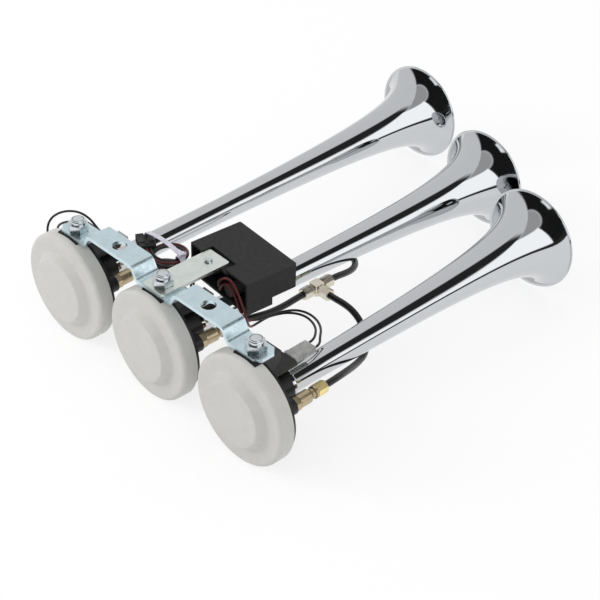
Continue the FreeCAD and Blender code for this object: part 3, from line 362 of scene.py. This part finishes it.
def turn_on_lathe(stations, sides=128):
    """Turned piece round Y; stations are (along, radius) in millimetres, in order round its wall."""
    along, radius = stations[0]
    bpy.ops.mesh.primitive_circle_add(vertices=sides, radius=radius * MM,
                                      rotation=(math.pi / 2, 0, 0), location=(0, along * MM, 0))
    piece = bpy.context.object
    bpy.ops.object.transform_apply()
    bpy.ops.object.mode_set(mode="EDIT")
    bpy.ops.mesh.select_mode(type="VERT")
    bpy.ops.mesh.select_all(action="SELECT")
    for next_along, next_radius in stations[1:]:
        extrude(0, next_along - along, 0)
        grow = next_radius / radius
        bpy.ops.transform.resize(value=(grow, 1, grow), center_override=(0, next_along * MM, 0))
        along, radius = next_along, next_radius
    bpy.ops.mesh.select_all(action="SELECT")
    bpy.ops.mesh.remove_doubles(threshold=SEAM)
    bpy.ops.mesh.normals_make_consistent(inside=False)
    bpy.ops.object.mode_set(mode="OBJECT")
    return piece


def start_block(low, high):
    """Block between two corners in millimetres, to be shaped further."""
    bpy.ops.mesh.primitive_cube_add(size=1)
    piece = bpy.context.object
    piece.scale = [(top - bottom) * MM for bottom, top in zip(low, high)]
    piece.location = [(top + bottom) / 2 * MM for bottom, top in zip(low, high)]
    bpy.ops.object.transform_apply()
    return piece


def facing(x=0, y=0, z=0):
    """Test for faces that point a certain way."""
    way = Vector((x, y, z))
    return lambda face: face.normal.dot(way) > ALIKE


def pick(piece, chosen):
    """Opens a piece for editing with only the faces selected that a test chooses."""
    bpy.context.view_layer.objects.active = piece
    bpy.ops.object.mode_set(mode="EDIT")
    bpy.ops.mesh.select_mode(type="FACE")
    bpy.ops.mesh.select_all(action="DESELECT")
    bpy.ops.object.mode_set(mode="OBJECT")
    for face in piece.data.polygons:
        face.select = chosen(face)
    bpy.ops.object.mode_set(mode="EDIT")


def push(piece, chosen, border, depth):
    """Insets the chosen faces by a border and moves them in by a depth, in millimetres."""
    pick(piece, chosen)
    bpy.ops.mesh.inset(thickness=border * MM, depth=-depth * MM, use_individual=True)
    bpy.ops.object.mode_set(mode="OBJECT")


def smooth(piece, angle):
    """Smooth shading, with edges sharper than an angle in degrees kept."""
    take(piece)
    bpy.ops.object.shade_smooth_by_angle(angle=math.radians(angle))


def round_off(piece, width, segments=3):
    """Rounds the sharp edges of a piece, width in millimetres."""
    bevel = piece.modifiers.new("edges", "BEVEL")
    bevel.width = width * MM
    bevel.segments = segments
    bevel.limit_method = "ANGLE"
    bevel.angle_limit = math.radians(SHARP)
    take(piece)
    bpy.ops.object.modifier_apply(modifier="edges")
    smooth(piece, BLOCK_SMOOTH)


def join(*pieces):
    """Joins several pieces into the first."""
    take(*pieces)
    bpy.ops.object.join()
    return pieces[0]


def place_at(piece, place, turn):
    """Turns a piece made on the origin about Z and moves it, applied to its mesh."""
    piece.rotation_euler = (0, 0, math.radians(turn))
    piece.location = point(*place)
    take(piece)
    bpy.ops.object.transform_apply()


# Trumpets

RIM_RADIUS = 38.2
PIPE_RADIUS = 9
TRUMPET_WALL = 1.1
BEAD_RADIUS = 1.1
FLARE_SHIFT = 10.65
FLARE_POWER = 0.47
COLLAR_RADIUS = 11.8
COLLAR_START = 24
COLLAR_END = 27
THROAT_RADIUS = 6
FLARE_STEPS = 44
# Stations crowd towards the rim by this power of their count; the last one keeps clear of the bead
FLARE_CROWD = 2.4
RIM_CLEAR = 0.4
# The bead's first angle round its own middle, how far round it goes, and its steps
BEAD_FROM = 125
BEAD_ROUND = 230
BEAD_STEPS = 12
# The collar's edge, and the foot of the pipe behind it: (behind the collar, over the pipe)
COLLAR_EDGE = 0.5
PIPE_FOOT = ((0.6, 0.7), (1.4, 0.1), (2.4, 0))


def flare_radius(behind):
    """Outer radius of the bell at a distance behind its rim."""
    return RIM_RADIUS * (1 + behind / FLARE_SHIFT) ** -FLARE_POWER


def make_trumpet(side):
    """Polished trumpet with collar, long pipe, flare and rolled rim, smooth all round."""
    rim = RIM_REACH[side]
    length = FLARE_SHIFT * ((RIM_RADIUS / PIPE_RADIUS) ** (1 / FLARE_POWER) - 1)
    behind = [length * (step / FLARE_STEPS) ** FLARE_CROWD for step in range(FLARE_STEPS, 0, -1)]
    outer = [(rim - gap, flare_radius(gap)) for gap in behind if gap > RIM_CLEAR]
    bead_along = rim - BEAD_RADIUS / 2
    bead_middle = RIM_RADIUS - TRUMPET_WALL / 2
    bead = []
    for step in range(BEAD_STEPS + 1):
        angle = math.radians(BEAD_FROM - BEAD_ROUND * step / BEAD_STEPS)
        bead.append((bead_along + BEAD_RADIUS * math.cos(angle),
                     bead_middle + BEAD_RADIUS * math.sin(angle)))
    wall = [(COLLAR_START, THROAT_RADIUS), (COLLAR_START, COLLAR_RADIUS),
            (COLLAR_END - COLLAR_EDGE, COLLAR_RADIUS), (COLLAR_END, COLLAR_RADIUS - COLLAR_EDGE)]
    wall += [(COLLAR_END + gap, PIPE_RADIUS + over) for gap, over in PIPE_FOOT]
    inner = [(along, radius - TRUMPET_WALL) for along, radius in reversed(outer)]
    inner += [(COLLAR_END, PIPE_RADIUS - TRUMPET_WALL), (COLLAR_START, THROAT_RADIUS)]
    piece = turn_on_lathe(wall + outer + bead + inner)
    place_at(piece, (HORN_X[side], 0, 0), -HORN_TURN[side])
    smooth(piece, TURNED_SMOOTH)
    dress(piece, f"{side}_chromed_trumpet", CHROME)
    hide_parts(f"{side}_pipe", f"{side}_bell")


# Hoses, wires and leads

HOSE_DIAMETER = 4.8
WIRE_DIAMETER = 1.7
LEAD_DIAMETER = 2.2
# How finely a cord is divided round it and along it
ROUND_STEPS = 8
LENGTH_STEPS = 10

# Points of the middle lines, from the fitting to the end
ROUTES = {
    "middle_hose": (
        (23.41, 34.9, 3.5), (23.78, 44.19, 3.5), (26, 57.5, 2.2), (28.2, 69.5, 0.9), (28.6, 83, 0.1),
        (27.8, 97, 0), (27.8, 106.3, 0)),
    "right_hose": (
        (112, 35.8, 3.5), (112, 45.1, 3.5), (109.8, 58, 1.5), (105.2, 69.5, -3.5), (100.2, 80.5, -8.6),
        (95.9, 90, -12.2), (92, 98.7, -14), (86, 106.8, -14.2), (78, 113.5, -12), (69.6, 117.6, -8),
        (61.8, 118, -3.6), (54.6, 116.8, -0.9), (46.3, 115.5, 0), (37, 115.5, 0)),
    "left_hose": (
        (-68, 35.8, 3.5), (-68, 45.1, 3.5), (-66.5, 56.5, 1.2), (-60.5, 68, -3.8), (-51.5, 79, -10.2),
        (-42.5, 90.5, -17.2), (-35.5, 104, -23.6), (-31.5, 118.5, -28.2), (-30.5, 132.5, -30.6),
        (-31.5, 145.5, -30.4), (-30.2, 157.5, -27.6), (-24.6, 167.6, -23.6), (-15.4, 174.6, -19.8),
        (-4.4, 177, -17), (7, 174.6, -14.4), (16.2, 167, -11.2), (22.8, 156.8, -7.4),
        (26.4, 145.6, -3.4), (27.8, 134, 0), (27.8, 124.7, 0)),
    "right_wire_a": (
        (92.7, 49.3, 18.5), (92.7, 54.3, 18.5), (86.6, 60.6, 18.2), (80.6, 67.6, 17), (73, 73, 16),
        (64, 76.4, 14.6), (54.8, 77.4, 12.8), (45.9, 75.6, 10.4), (39, 69.2, 7.6), (35.4, 60.8, 5.6),
        (35.2, 51.6, 5), (37.8, 43.6, 7.4), (41, 38.4, 13.6), (41.4, 36, 21.4), (38.8, 35.4, 29.2),
        (35.2, 35.2, 36.4), (31, 35.2, 42.6), (25.2, 35.2, 45), (19, 34.8, 42.2), (14.6, 35.2, 36.8),
        (12.6, 37.6, 31), (11.2, 42.56, 28.4), (11.32, 48.17, 29.6), (11.41, 53.38, 29.6),
        (11.87, 58.36, 29.6)),
    "right_wire_b": (
        (86.3, 49.3, 18.5), (86.3, 54.3, 18.5), (82.4, 60.6, 18), (76.2, 66.8, 16.6), (68.8, 71, 15.2),
        (60, 73.4, 13.8), (51, 73, 11.6), (43.8, 69.4, 9.8), (39.4, 62.8, 8.6), (37.4, 54.8, 8.8),
        (36.8, 46.8, 10.8), (36, 40.4, 15.2), (34.6, 37.2, 21.4), (32.6, 36.4, 27.6), (30.4, 36, 33.2),
        (27.2, 35.9, 37.4), (22.6, 35.8, 38.8), (18.4, 35.8, 36.4), (15.2, 36.4, 32), (12.6, 38.2, 27.6),
        (11.09, 41.36, 25.8), (11.29, 47.77, 25.2), (11.61, 53.37, 25.2), (12.07, 58.34, 25.2)),
    "left_wire_a": (
        (-96, 36.5, 18.5), (-103, 36.5, 18.5), (-108.4, 34, 14), (-114.2, 30, 5), (-121.4, 24.2, -2),
        (-129.8, 18, -5.6), (-138.4, 13, -3), (-143.4, 11, 4.4), (-145.2, 12.2, 12),
        (-143.8, 15.6, 18.6), (-138.4, 19.4, 23.9), (-130.4, 22.4, 27.9), (-121.2, 24.6, 30.1),
        (-112.4, 26, 28.9),
        (-105, 26.4, 24.8), (-97, 25.4, 22.6), (-87.6, 23.6, 23.4), (-77.4, 19.4, 25.4),
        (-65.6, 15.8, 27), (-53.6, 17, 28), (-42.6, 22.6, 27.8), (-33, 29.4, 27.2), (-25.6, 36.6, 27),
        (-18.24, 43.49, 27), (-15.89, 49.3, 27.2), (-14.68, 55.82, 27.2), (-14.21, 60.8, 27.2)),
    "left_wire_b": (
        (-96, 32.5, 18.5), (-101, 32.5, 18.5), (-106.8, 30.4, 13), (-111.6, 26.6, 5), (-118, 21.4, -0.6),
        (-125.6, 16.6, -1.4), (-132, 13.6, 3.4), (-135, 12.8, 10.6), (-133.2, 13.2, 17.8),
        (-127.8, 14.2, 22.8), (-121, 15.8, 26.4), (-113.2, 17.8, 28), (-105.2, 19.2, 27.4),
        (-96.6, 19.4, 26), (-87.2, 18.4, 26.2), (-76.8, 15.2, 28), (-65, 11.8, 30), (-53, 12.8, 30.8),
        (-42, 18, 29.6), (-32.6, 26, 28.4), (-25, 32.4, 27.6), (-17.56, 40.02, 29),
        (-14.61, 45.77, 30.4), (-12.73, 50.82, 30.8), (-12.09, 55.58, 30.8), (-11.62, 60.55, 30.8)),
    "middle_wire_a": (
        (-4.72, 32.21, 18.5), (-8.72, 32.37, 18.5), (-12.4, 33.8, 20.5), (-13.8, 37.8, 24.3),
        (-12.26, 42.94, 27.6), (-9.91, 48.74, 28.6), (-8.5, 55.24, 28.6), (-8.04, 60.22, 28.6)),
    "middle_wire_b": (
        (-4.61, 35.01, 18.5), (-10.61, 35.25, 18.5), (-14.8, 38.6, 21.9), (-13.94, 44.3, 25.2),
        (-11.41, 49.89, 25.6), (-10.3, 55.41, 25.6), (-9.83, 60.39, 25.6)),
}

# The leads' loop: how far it falls in one turn, the angles in degrees where they join and leave it,
# and the distance between the two leads' middles
LOOP_MIDDLE = (-33, 32, 39)
LOOP_RADIUS = 12.5
LOOP_FALL = 5.5
LOOP_JOIN = 242
LOOP_LEAVE = 700
LEAD_PITCH = 2.6
LOOP_POINTS = 15
LEAD_STARTS = {"lead_red": (-44.78, 22.63, 39), "lead_black": (-43.56, 24.93, 39)}
LEAD_ENDS = {
    "lead_red": (
        (-16.35, 41.11, 34.8), (-15.3, 47.04, 34.8), (-14.36, 53.78, 34.8), (-13.71, 60.75, 34.8)),
    "lead_black": (
        (-18.94, 41.35, 34.8), (-17.88, 47.28, 34.8), (-16.95, 54.02, 34.8), (-16.3, 60.99, 34.8)),
}


def lead_route(name):
    """Points of a power lead: from the plug, round the loop, into the case."""
    side = 1 if name == "lead_red" else -1
    radius = LOOP_RADIUS + side * LEAD_PITCH / 2
    across, along, top = LOOP_MIDDLE
    route = [LEAD_STARTS[name]]
    for step in range(LOOP_POINTS + 1):
        gone = (LOOP_LEAVE - LOOP_JOIN) * step / LOOP_POINTS
        turn = math.radians(LOOP_JOIN + gone)
        route.append((across + radius * math.cos(turn), along + radius * math.sin(turn),
                      top - LOOP_FALL * gone / 360))
    return route + list(LEAD_ENDS[name])


def run_cord(name, route, diameter, finish):
    """Smooth round cord along its route, in place of its plain tube; its points hold its radius."""
    curve = bpy.data.curves.new(f"{name}_run", "CURVE")
    curve.dimensions = "3D"
    curve.bevel_depth = 1
    curve.bevel_resolution = ROUND_STEPS
    curve.resolution_u = LENGTH_STEPS
    curve.use_fill_caps = True
    line = curve.splines.new("NURBS")
    line.points.add(len(route) - 1)
    for control, place in zip(line.points, route):
        control.co = (*point(*place), 1)
        control.radius = diameter / 2 * MM
    line.order_u = 3
    line.use_endpoint_u = True
    piece = bpy.data.objects.new(f"{name}_run", curve)
    bpy.context.scene.collection.objects.link(piece)
    curve.materials.append(finish)
    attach(piece, "root")
    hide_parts(name)
    spline_length(piece)


def spline_length(piece):
    """Length of a cord's own centre line, in metres."""
    piece.data.bevel_depth = 0
    line = bpy.data.meshes.new_from_object(piece)
    piece.data.bevel_depth = 1
    places = [vertex.co.copy() for vertex in line.vertices]
    bpy.data.meshes.remove(line)
    return sum((after - before).length for before, after in zip(places, places[1:]))


def run_cords(tie, plug, boots):
    """Every hose, wire and lead; the tie, plug and boots that it is given are not used."""
    for name, route in ROUTES.items():
        if name.endswith("hose"):
            run_cord(name, route, HOSE_DIAMETER, HOSE)
        else:
            side, wire = name.split("_wire_")
            finish = TWIN if side == "right" else WIRE
            run_cord(name, route, WIRE_DIAMETER, finish)
    red = lead_route("lead_red")
    run_cord("lead_red", red, LEAD_DIAMETER, RED)
    black = lead_route("lead_black")
    run_cord("lead_black", black, LEAD_DIAMETER, WIRE)


# Small moulded pieces: shaped on the origin in millimetres, then turned by degrees and moved

TIE_PLACE = (-20.23, 32.65, 35.09)
TIE_TURN = -14.96
TIE_RADIUS = 4.8
TIE_THICKNESS = 0.9
# Half the band's width, and what its edges lose
TIE_HALF = 2
TIE_EDGE = 0.25
BAND_SIDES = 64
# Corners of the head
HEAD_LOW = (-1, -2.4, 5.1)
HEAD_HIGH = (3, 2.4, 8.8)
# Height of the tail over the band's inside, and where it starts and where its root ends in the head
TAIL_LIFT = 1.55
TAIL_START = 1.2
TAIL_ROOT = 2
# How much narrower the tail is than the band, on each side
TAIL_INSET = 0.2
TAIL_LENGTH = 30
TAIL_TEETH = 26
# Height of the tail's bow, the part of a half wave that it follows, and its drift to the side
TAIL_BOW = 3.9
TAIL_WAVE = 0.72
TAIL_SKEW = 0.325
# Thickness of the tail between two teeth, as a share
TOOTH_FOOT = 0.72
# The tip curls down by these steps; a step's length, its drift to the side, and how it gets narrower
TIP_FALLS = (0.5, 1.1, 1.7, 2.1)
TIP_STEP = 2.3
TIP_DRIFT = 0.45
TIP_SHRINK = (1, 0.86, 0.9)


def make_tie_tail():
    """Toothed tail of the tie, bowed and skewed, with a tip that curls over."""
    root = TIE_RADIUS + TAIL_LIFT
    half = TIE_HALF - TAIL_INSET
    tail = start_block((TAIL_START, -half, root), (TAIL_ROOT, half, root + TIE_THICKNESS))
    pick(tail, facing(x=-1))
    step = (TAIL_LENGTH + 1) / TAIL_TEETH
    before = TAIL_START
    height = 0
    for notch in range(2 * TAIL_TEETH):
        reach = TAIL_START - step * (notch + 1) / 2
        share = max(0, -reach) / TAIL_LENGTH
        bow = TAIL_BOW * math.sin(min(share, 1) * math.pi * TAIL_WAVE)
        drift = TAIL_SKEW * (min(0, reach) - min(0, before))
        extrude(reach - before, drift, bow - height)
        thin = TOOTH_FOOT if notch % 2 == 0 else 1 / TOOTH_FOOT
        bpy.ops.transform.resize(value=(1, 1, thin))
        before = reach
        height = bow
    for fall in TIP_FALLS:
        extrude(fall - TIP_STEP, -TIP_DRIFT, -fall)
        bpy.ops.transform.resize(value=TIP_SHRINK)
    bpy.ops.object.mode_set(mode="OBJECT")
    round_off(tail, 0.12, segments=2)
    return tail


def make_tie():
    """Cable tie: rounded band, head with its slot, and its tail."""
    outside = TIE_RADIUS + TIE_THICKNESS
    flat = TIE_HALF - TIE_EDGE
    band = turn_on_lathe([
        (-TIE_HALF, TIE_RADIUS), (-TIE_HALF, outside - TIE_EDGE), (-flat, outside),
        (flat, outside), (TIE_HALF, outside - TIE_EDGE), (TIE_HALF, TIE_RADIUS),
        (-TIE_HALF, TIE_RADIUS)], sides=BAND_SIDES)
    head = start_block(HEAD_LOW, HEAD_HIGH)
    push(head, facing(x=1), border=0.7, depth=1.2)
    push(head, facing(x=-1), border=0.7, depth=0.5)
    round_off(head, 0.35)
    tie = join(band, head, make_tie_tail())
    place_at(tie, TIE_PLACE, TIE_TURN)
    dress(tie, "nylon_tie", NYLON)
    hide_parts("cable_tie")
    return tie


PLUG_PLACE = (-44.17, 23.78, 39)
PLUG_TURN = 62
PLUG_LENGTH = 15
# Half width and half height of the sockets, half the gap between them, and where they start
PLUG_WIDE = 6
PLUG_HIGH = 3
SOCKET_GAP = 0.35
SOCKET_START = 4.5
# Middle, half width, half height and ends of a ferrule
FERRULE_ASIDE = 3.2
FERRULE_WIDE = 1.3
FERRULE_HIGH = 0.6
FERRULE_RUN = (2.5, 13.2)
# Length of the body, and what its sides and its top and bottom lose against the sockets
BODY_LENGTH = 6.5
BODY_SIDE_LOSS = 0.3
BODY_TOP_LOSS = 0.2
# Half width and ends of the latch, and its foot and top over the sockets' top
LATCH_WIDE = 1.4
LATCH_RUN = (1.5, 9.5)
LATCH_FOOT = -0.4
LATCH_TOP = 0.02


def make_plug():
    """Two-way plug: body with strain relief and latch, and two sockets with a ferrule in each."""
    halves = []
    for side in (-1, 1):
        inner, outer = sorted((side * SOCKET_GAP, side * PLUG_WIDE))
        half = start_block((inner, SOCKET_START, -PLUG_HIGH), (outer, PLUG_LENGTH, PLUG_HIGH))
        push(half, facing(y=1), border=0.9, depth=7)
        push(half, facing(z=1), border=1.1, depth=0.4)
        round_off(half, 0.35)
        halves.append(half)
        middle = side * FERRULE_ASIDE
        ferrule = start_block((middle - FERRULE_WIDE, FERRULE_RUN[0], -FERRULE_HIGH),
                              (middle + FERRULE_WIDE, FERRULE_RUN[1], FERRULE_HIGH))
        push(ferrule, facing(y=1), border=0.3, depth=1.5)
        round_off(ferrule, 0.2)
        halves.append(ferrule)
    wide = PLUG_WIDE - BODY_SIDE_LOSS
    high = PLUG_HIGH - BODY_TOP_LOSS
    body = start_block((-wide, 0, -high), (wide, BODY_LENGTH, high))
    push(body, facing(y=-1), border=1.2, depth=-0.6)
    push(body, facing(z=1), border=1.4, depth=0.5)
    round_off(body, 0.5)
    latch = start_block((-LATCH_WIDE, LATCH_RUN[0], PLUG_HIGH + LATCH_FOOT),
                        (LATCH_WIDE, LATCH_RUN[1], PLUG_HIGH + LATCH_TOP))
    push(latch, facing(z=1), border=0.5, depth=0.3)
    round_off(latch, 0.2)
    plug = join(body, latch, *halves)
    place_at(plug, PLUG_PLACE, PLUG_TURN)
    dress(plug, "two_way_plug", PLUG)
    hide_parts("lead_plug")
    return plug


BOOT_LENGTH = {"left": 8.7, "middle": 8.7, "right": 19}
# Middle of the boot across its horn, its start behind the horn's face, and its height
BOOT_MIDDLE = -0.5
BOOT_START = 30.3
BOOT_UP = 18.5
# Its half width and half height, and the lengths of its foot and of the lip at its mouth
BOOT_WIDE = 5.5
BOOT_HIGH = 2.5
BOOT_FOOT = 1.4
BOOT_LIP = 0.8
# Bands along the boot: about how long one is, and shares of it for its body and each groove step
BAND_LENGTH = 3
BAND_BODY = 0.7
GROOVE_STEP = 0.1
# Scale across and up at the first band and in a groove
BOOT_TAPER = 0.94
GROOVE_WIDE = 0.97
GROOVE_HIGH = 0.93


def make_boot(side):
    """Soft boot over both blades: rounded block with moulded bands and a lip at its mouth."""
    boot = start_block((-BOOT_WIDE, 0, -BOOT_HIGH), (BOOT_WIDE, BOOT_FOOT, BOOT_HIGH))
    pick(boot, facing(y=1))
    length = BOOT_LENGTH[side]
    bands = max(2, round(length / BAND_LENGTH))
    step = (length - BOOT_FOOT - BOOT_LIP) / bands
    for band in range(bands):
        extrude(0, step * BAND_BODY, 0)
        if band == 0:
            bpy.ops.transform.resize(value=(BOOT_TAPER, 1, BOOT_TAPER))
        extrude(0, step * GROOVE_STEP, 0)
        bpy.ops.transform.resize(value=(GROOVE_WIDE, 1, GROOVE_HIGH))
        extrude(0, step * GROOVE_STEP, 0)
        extrude(0, step * GROOVE_STEP, 0)
        bpy.ops.transform.resize(value=(1 / GROOVE_WIDE, 1, 1 / GROOVE_HIGH))
    extrude(0, BOOT_LIP, 0)
    bpy.ops.transform.resize(value=(GROOVE_WIDE, 1, GROOVE_HIGH))
    bpy.ops.object.mode_set(mode="OBJECT")
    push(boot, facing(y=1), border=0.8, depth=0.5)
    round_off(boot, 0.3)
    turn = HORN_TURN[side]
    around = math.radians(turn)
    across = HORN_X[side] + BOOT_MIDDLE * math.cos(around) + BOOT_START * math.sin(around)
    along = BOOT_START * math.cos(around) - BOOT_MIDDLE * math.sin(around)
    place_at(boot, (across, along, BOOT_UP), -turn)
    dress(boot, f"{side}_terminal_boot", BOOT)
    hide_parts(f"{side}_boot")
    return boot


# Studio

# Brightness of the room that gloss sees, and of the even light on the object
WALL_LIGHT = 1
EVEN_LIGHT = 0.88
# Fields of the room that gloss sees: from and to round from +Y, from and to above the floor,
# softness of their edges, all in degrees, and brightness
ROOM_FIELDS = (
    (12, 56, 23, 72, 6, 0.03),
    (60, 240, 60, 90, 3, 0.55),
    (114, 240, -20, 58, 3, 0.015),
    (183, 201, 21, 32, 2, 1.4),
    (53, 116, 7, 61, 2, 1.8),
    (20, 240, -8, 7, 2, 0.03),
)


def light_room():
    """Even light on the object; gloss sees a room with a bright window and dark fields."""
    world = bpy.data.worlds.new("studio")
    world.use_nodes = True
    bpy.context.scene.world = world
    tree = world.node_tree
    tree.nodes.clear()

    def node(kind, **values):
        made = tree.nodes.new(kind)
        for key, value in values.items():
            setattr(made, key, value)
        return made

    def put(source, value):
        if isinstance(value, (int, float)):
            source.default_value = value
        else:
            tree.links.new(value, source)

    def maths(operation, first, second=0):
        made = node("ShaderNodeMath", operation=operation)
        put(made.inputs[0], first)
        put(made.inputs[1], second)
        return made.outputs[0]

    way = node("ShaderNodeTexCoord").outputs["Generated"]
    split = node("ShaderNodeSeparateXYZ")
    tree.links.new(way, split.inputs[0])
    degrees = math.degrees(1)
    around = maths("ARCTAN2", split.outputs["X"], split.outputs["Y"])
    around = maths("FLOORED_MODULO", maths("MULTIPLY", around, degrees), 360)
    above = maths("MULTIPLY", maths("ARCSINE", split.outputs["Z"]), degrees)

    def ramp(value, start, end):
        made = node("ShaderNodeMapRange", interpolation_type="SMOOTHSTEP")
        put(made.inputs["Value"], value)
        made.inputs["From Min"].default_value = start
        made.inputs["From Max"].default_value = end
        return made.outputs["Result"]

    def span(value, start, end, soft):
        """1 between two values, with soft ends."""
        rise = ramp(value, start - soft, start + soft)
        return maths("MULTIPLY", rise, ramp(value, end + soft, end - soft))

    level = WALL_LIGHT
    for left, right, low, high, soft, light in ROOM_FIELDS:
        share = maths("MULTIPLY", span(around, left, right, soft), span(above, low, high, soft))
        kept = maths("MULTIPLY", maths("SUBTRACT", 1, share), level)
        level = maths("ADD", kept, maths("MULTIPLY", share, light))

    rays = node("ShaderNodeLightPath")
    gloss = node("ShaderNodeBackground")
    tree.links.new(level, gloss.inputs["Strength"])
    even = node("ShaderNodeBackground")
    even.inputs["Strength"].default_value = EVEN_LIGHT
    seen = node("ShaderNodeBackground")
    seen.inputs["Strength"].default_value = 1
    by_gloss = node("ShaderNodeMixShader")
    tree.links.new(rays.outputs["Is Glossy Ray"], by_gloss.inputs[0])
    tree.links.new(even.outputs[0], by_gloss.inputs[1])
    tree.links.new(gloss.outputs[0], by_gloss.inputs[2])
    by_camera = node("ShaderNodeMixShader")
    tree.links.new(rays.outputs["Is Camera Ray"], by_camera.inputs[0])
    tree.links.new(by_gloss.outputs[0], by_camera.inputs[1])
    tree.links.new(seen.outputs[0], by_camera.inputs[2])
    out = node("ShaderNodeOutputWorld")
    tree.links.new(by_camera.outputs[0], out.inputs["Surface"])


# White that the floor gives by itself, its grey under the light, which takes the shadow,
# and its grey for the light that it throws back on the object
FLOOR_GLOW = 0.78
FLOOR_LIT = 0.27
FLOOR_PAPER = 0.8
# Width of the floor in metres
FLOOR_SIZE = 6


def lay_floor():
    """White floor under the set, which keeps a faint shadow."""
    low = cad_box[0][2]
    bpy.ops.mesh.primitive_plane_add(size=FLOOR_SIZE, location=(0, 0, low))
    floor = bpy.context.object
    floor.name = "floor"
    material = bpy.data.materials.new("floor_paper")
    material.use_nodes = True
    tree = material.node_tree
    tree.nodes.clear()
    paper = tree.nodes.new("ShaderNodeBsdfDiffuse")
    paper.inputs["Color"].default_value = (FLOOR_PAPER, FLOOR_PAPER, FLOOR_PAPER, 1)
    shown = tree.nodes.new("ShaderNodeBsdfDiffuse")
    shown.inputs["Color"].default_value = (FLOOR_LIT, FLOOR_LIT, FLOOR_LIT, 1)
    glow = tree.nodes.new("ShaderNodeEmission")
    glow.inputs["Strength"].default_value = FLOOR_GLOW
    both = tree.nodes.new("ShaderNodeAddShader")
    rays = tree.nodes.new("ShaderNodeLightPath")
    bounced = tree.nodes.new("ShaderNodeMixShader")
    out = tree.nodes.new("ShaderNodeOutputMaterial")
    tree.links.new(shown.outputs[0], both.inputs[0])
    tree.links.new(glow.outputs[0], both.inputs[1])
    tree.links.new(rays.outputs["Is Diffuse Ray"], bounced.inputs[0])
    tree.links.new(both.outputs[0], bounced.inputs[1])
    tree.links.new(paper.outputs[0], bounced.inputs[2])
    tree.links.new(bounced.outputs[0], out.inputs["Surface"])
    floor.data.materials.append(material)


# Soft lamp to the left in front of the caps, in metres and watts
LAMP_PLACE = (-1.1, -1.2, 0.9)
LAMP_AIM = (0, 0.05, -0.05)
LAMP_SIZE = 0.8
LAMP_POWER = 9


def hang_lamp():
    """Soft square lamp that points at the set; gloss doesn't see it."""
    light = bpy.data.lights.new("lamp_front", "AREA")
    light.size = LAMP_SIZE
    light.energy = LAMP_POWER
    lamp = bpy.data.objects.new("lamp_front", light)
    bpy.context.scene.collection.objects.link(lamp)
    lamp.location = LAMP_PLACE
    towards = Vector(LAMP_PLACE) - Vector(LAMP_AIM)
    lamp.rotation_euler = towards.to_track_quat("Z", "Y").to_euler()
    lamp.visible_glossy = False


place_camera()
light_room()
lay_floor()
hang_lamp()
finish_nodes()
run_cords(make_tie(), make_plug(), {each: make_boot(each) for each in SIDES})
for each in SIDES:
    make_trumpet(each)

bpy.context.scene.view_settings.view_transform = "Standard"
bpy.context.view_layer.update()
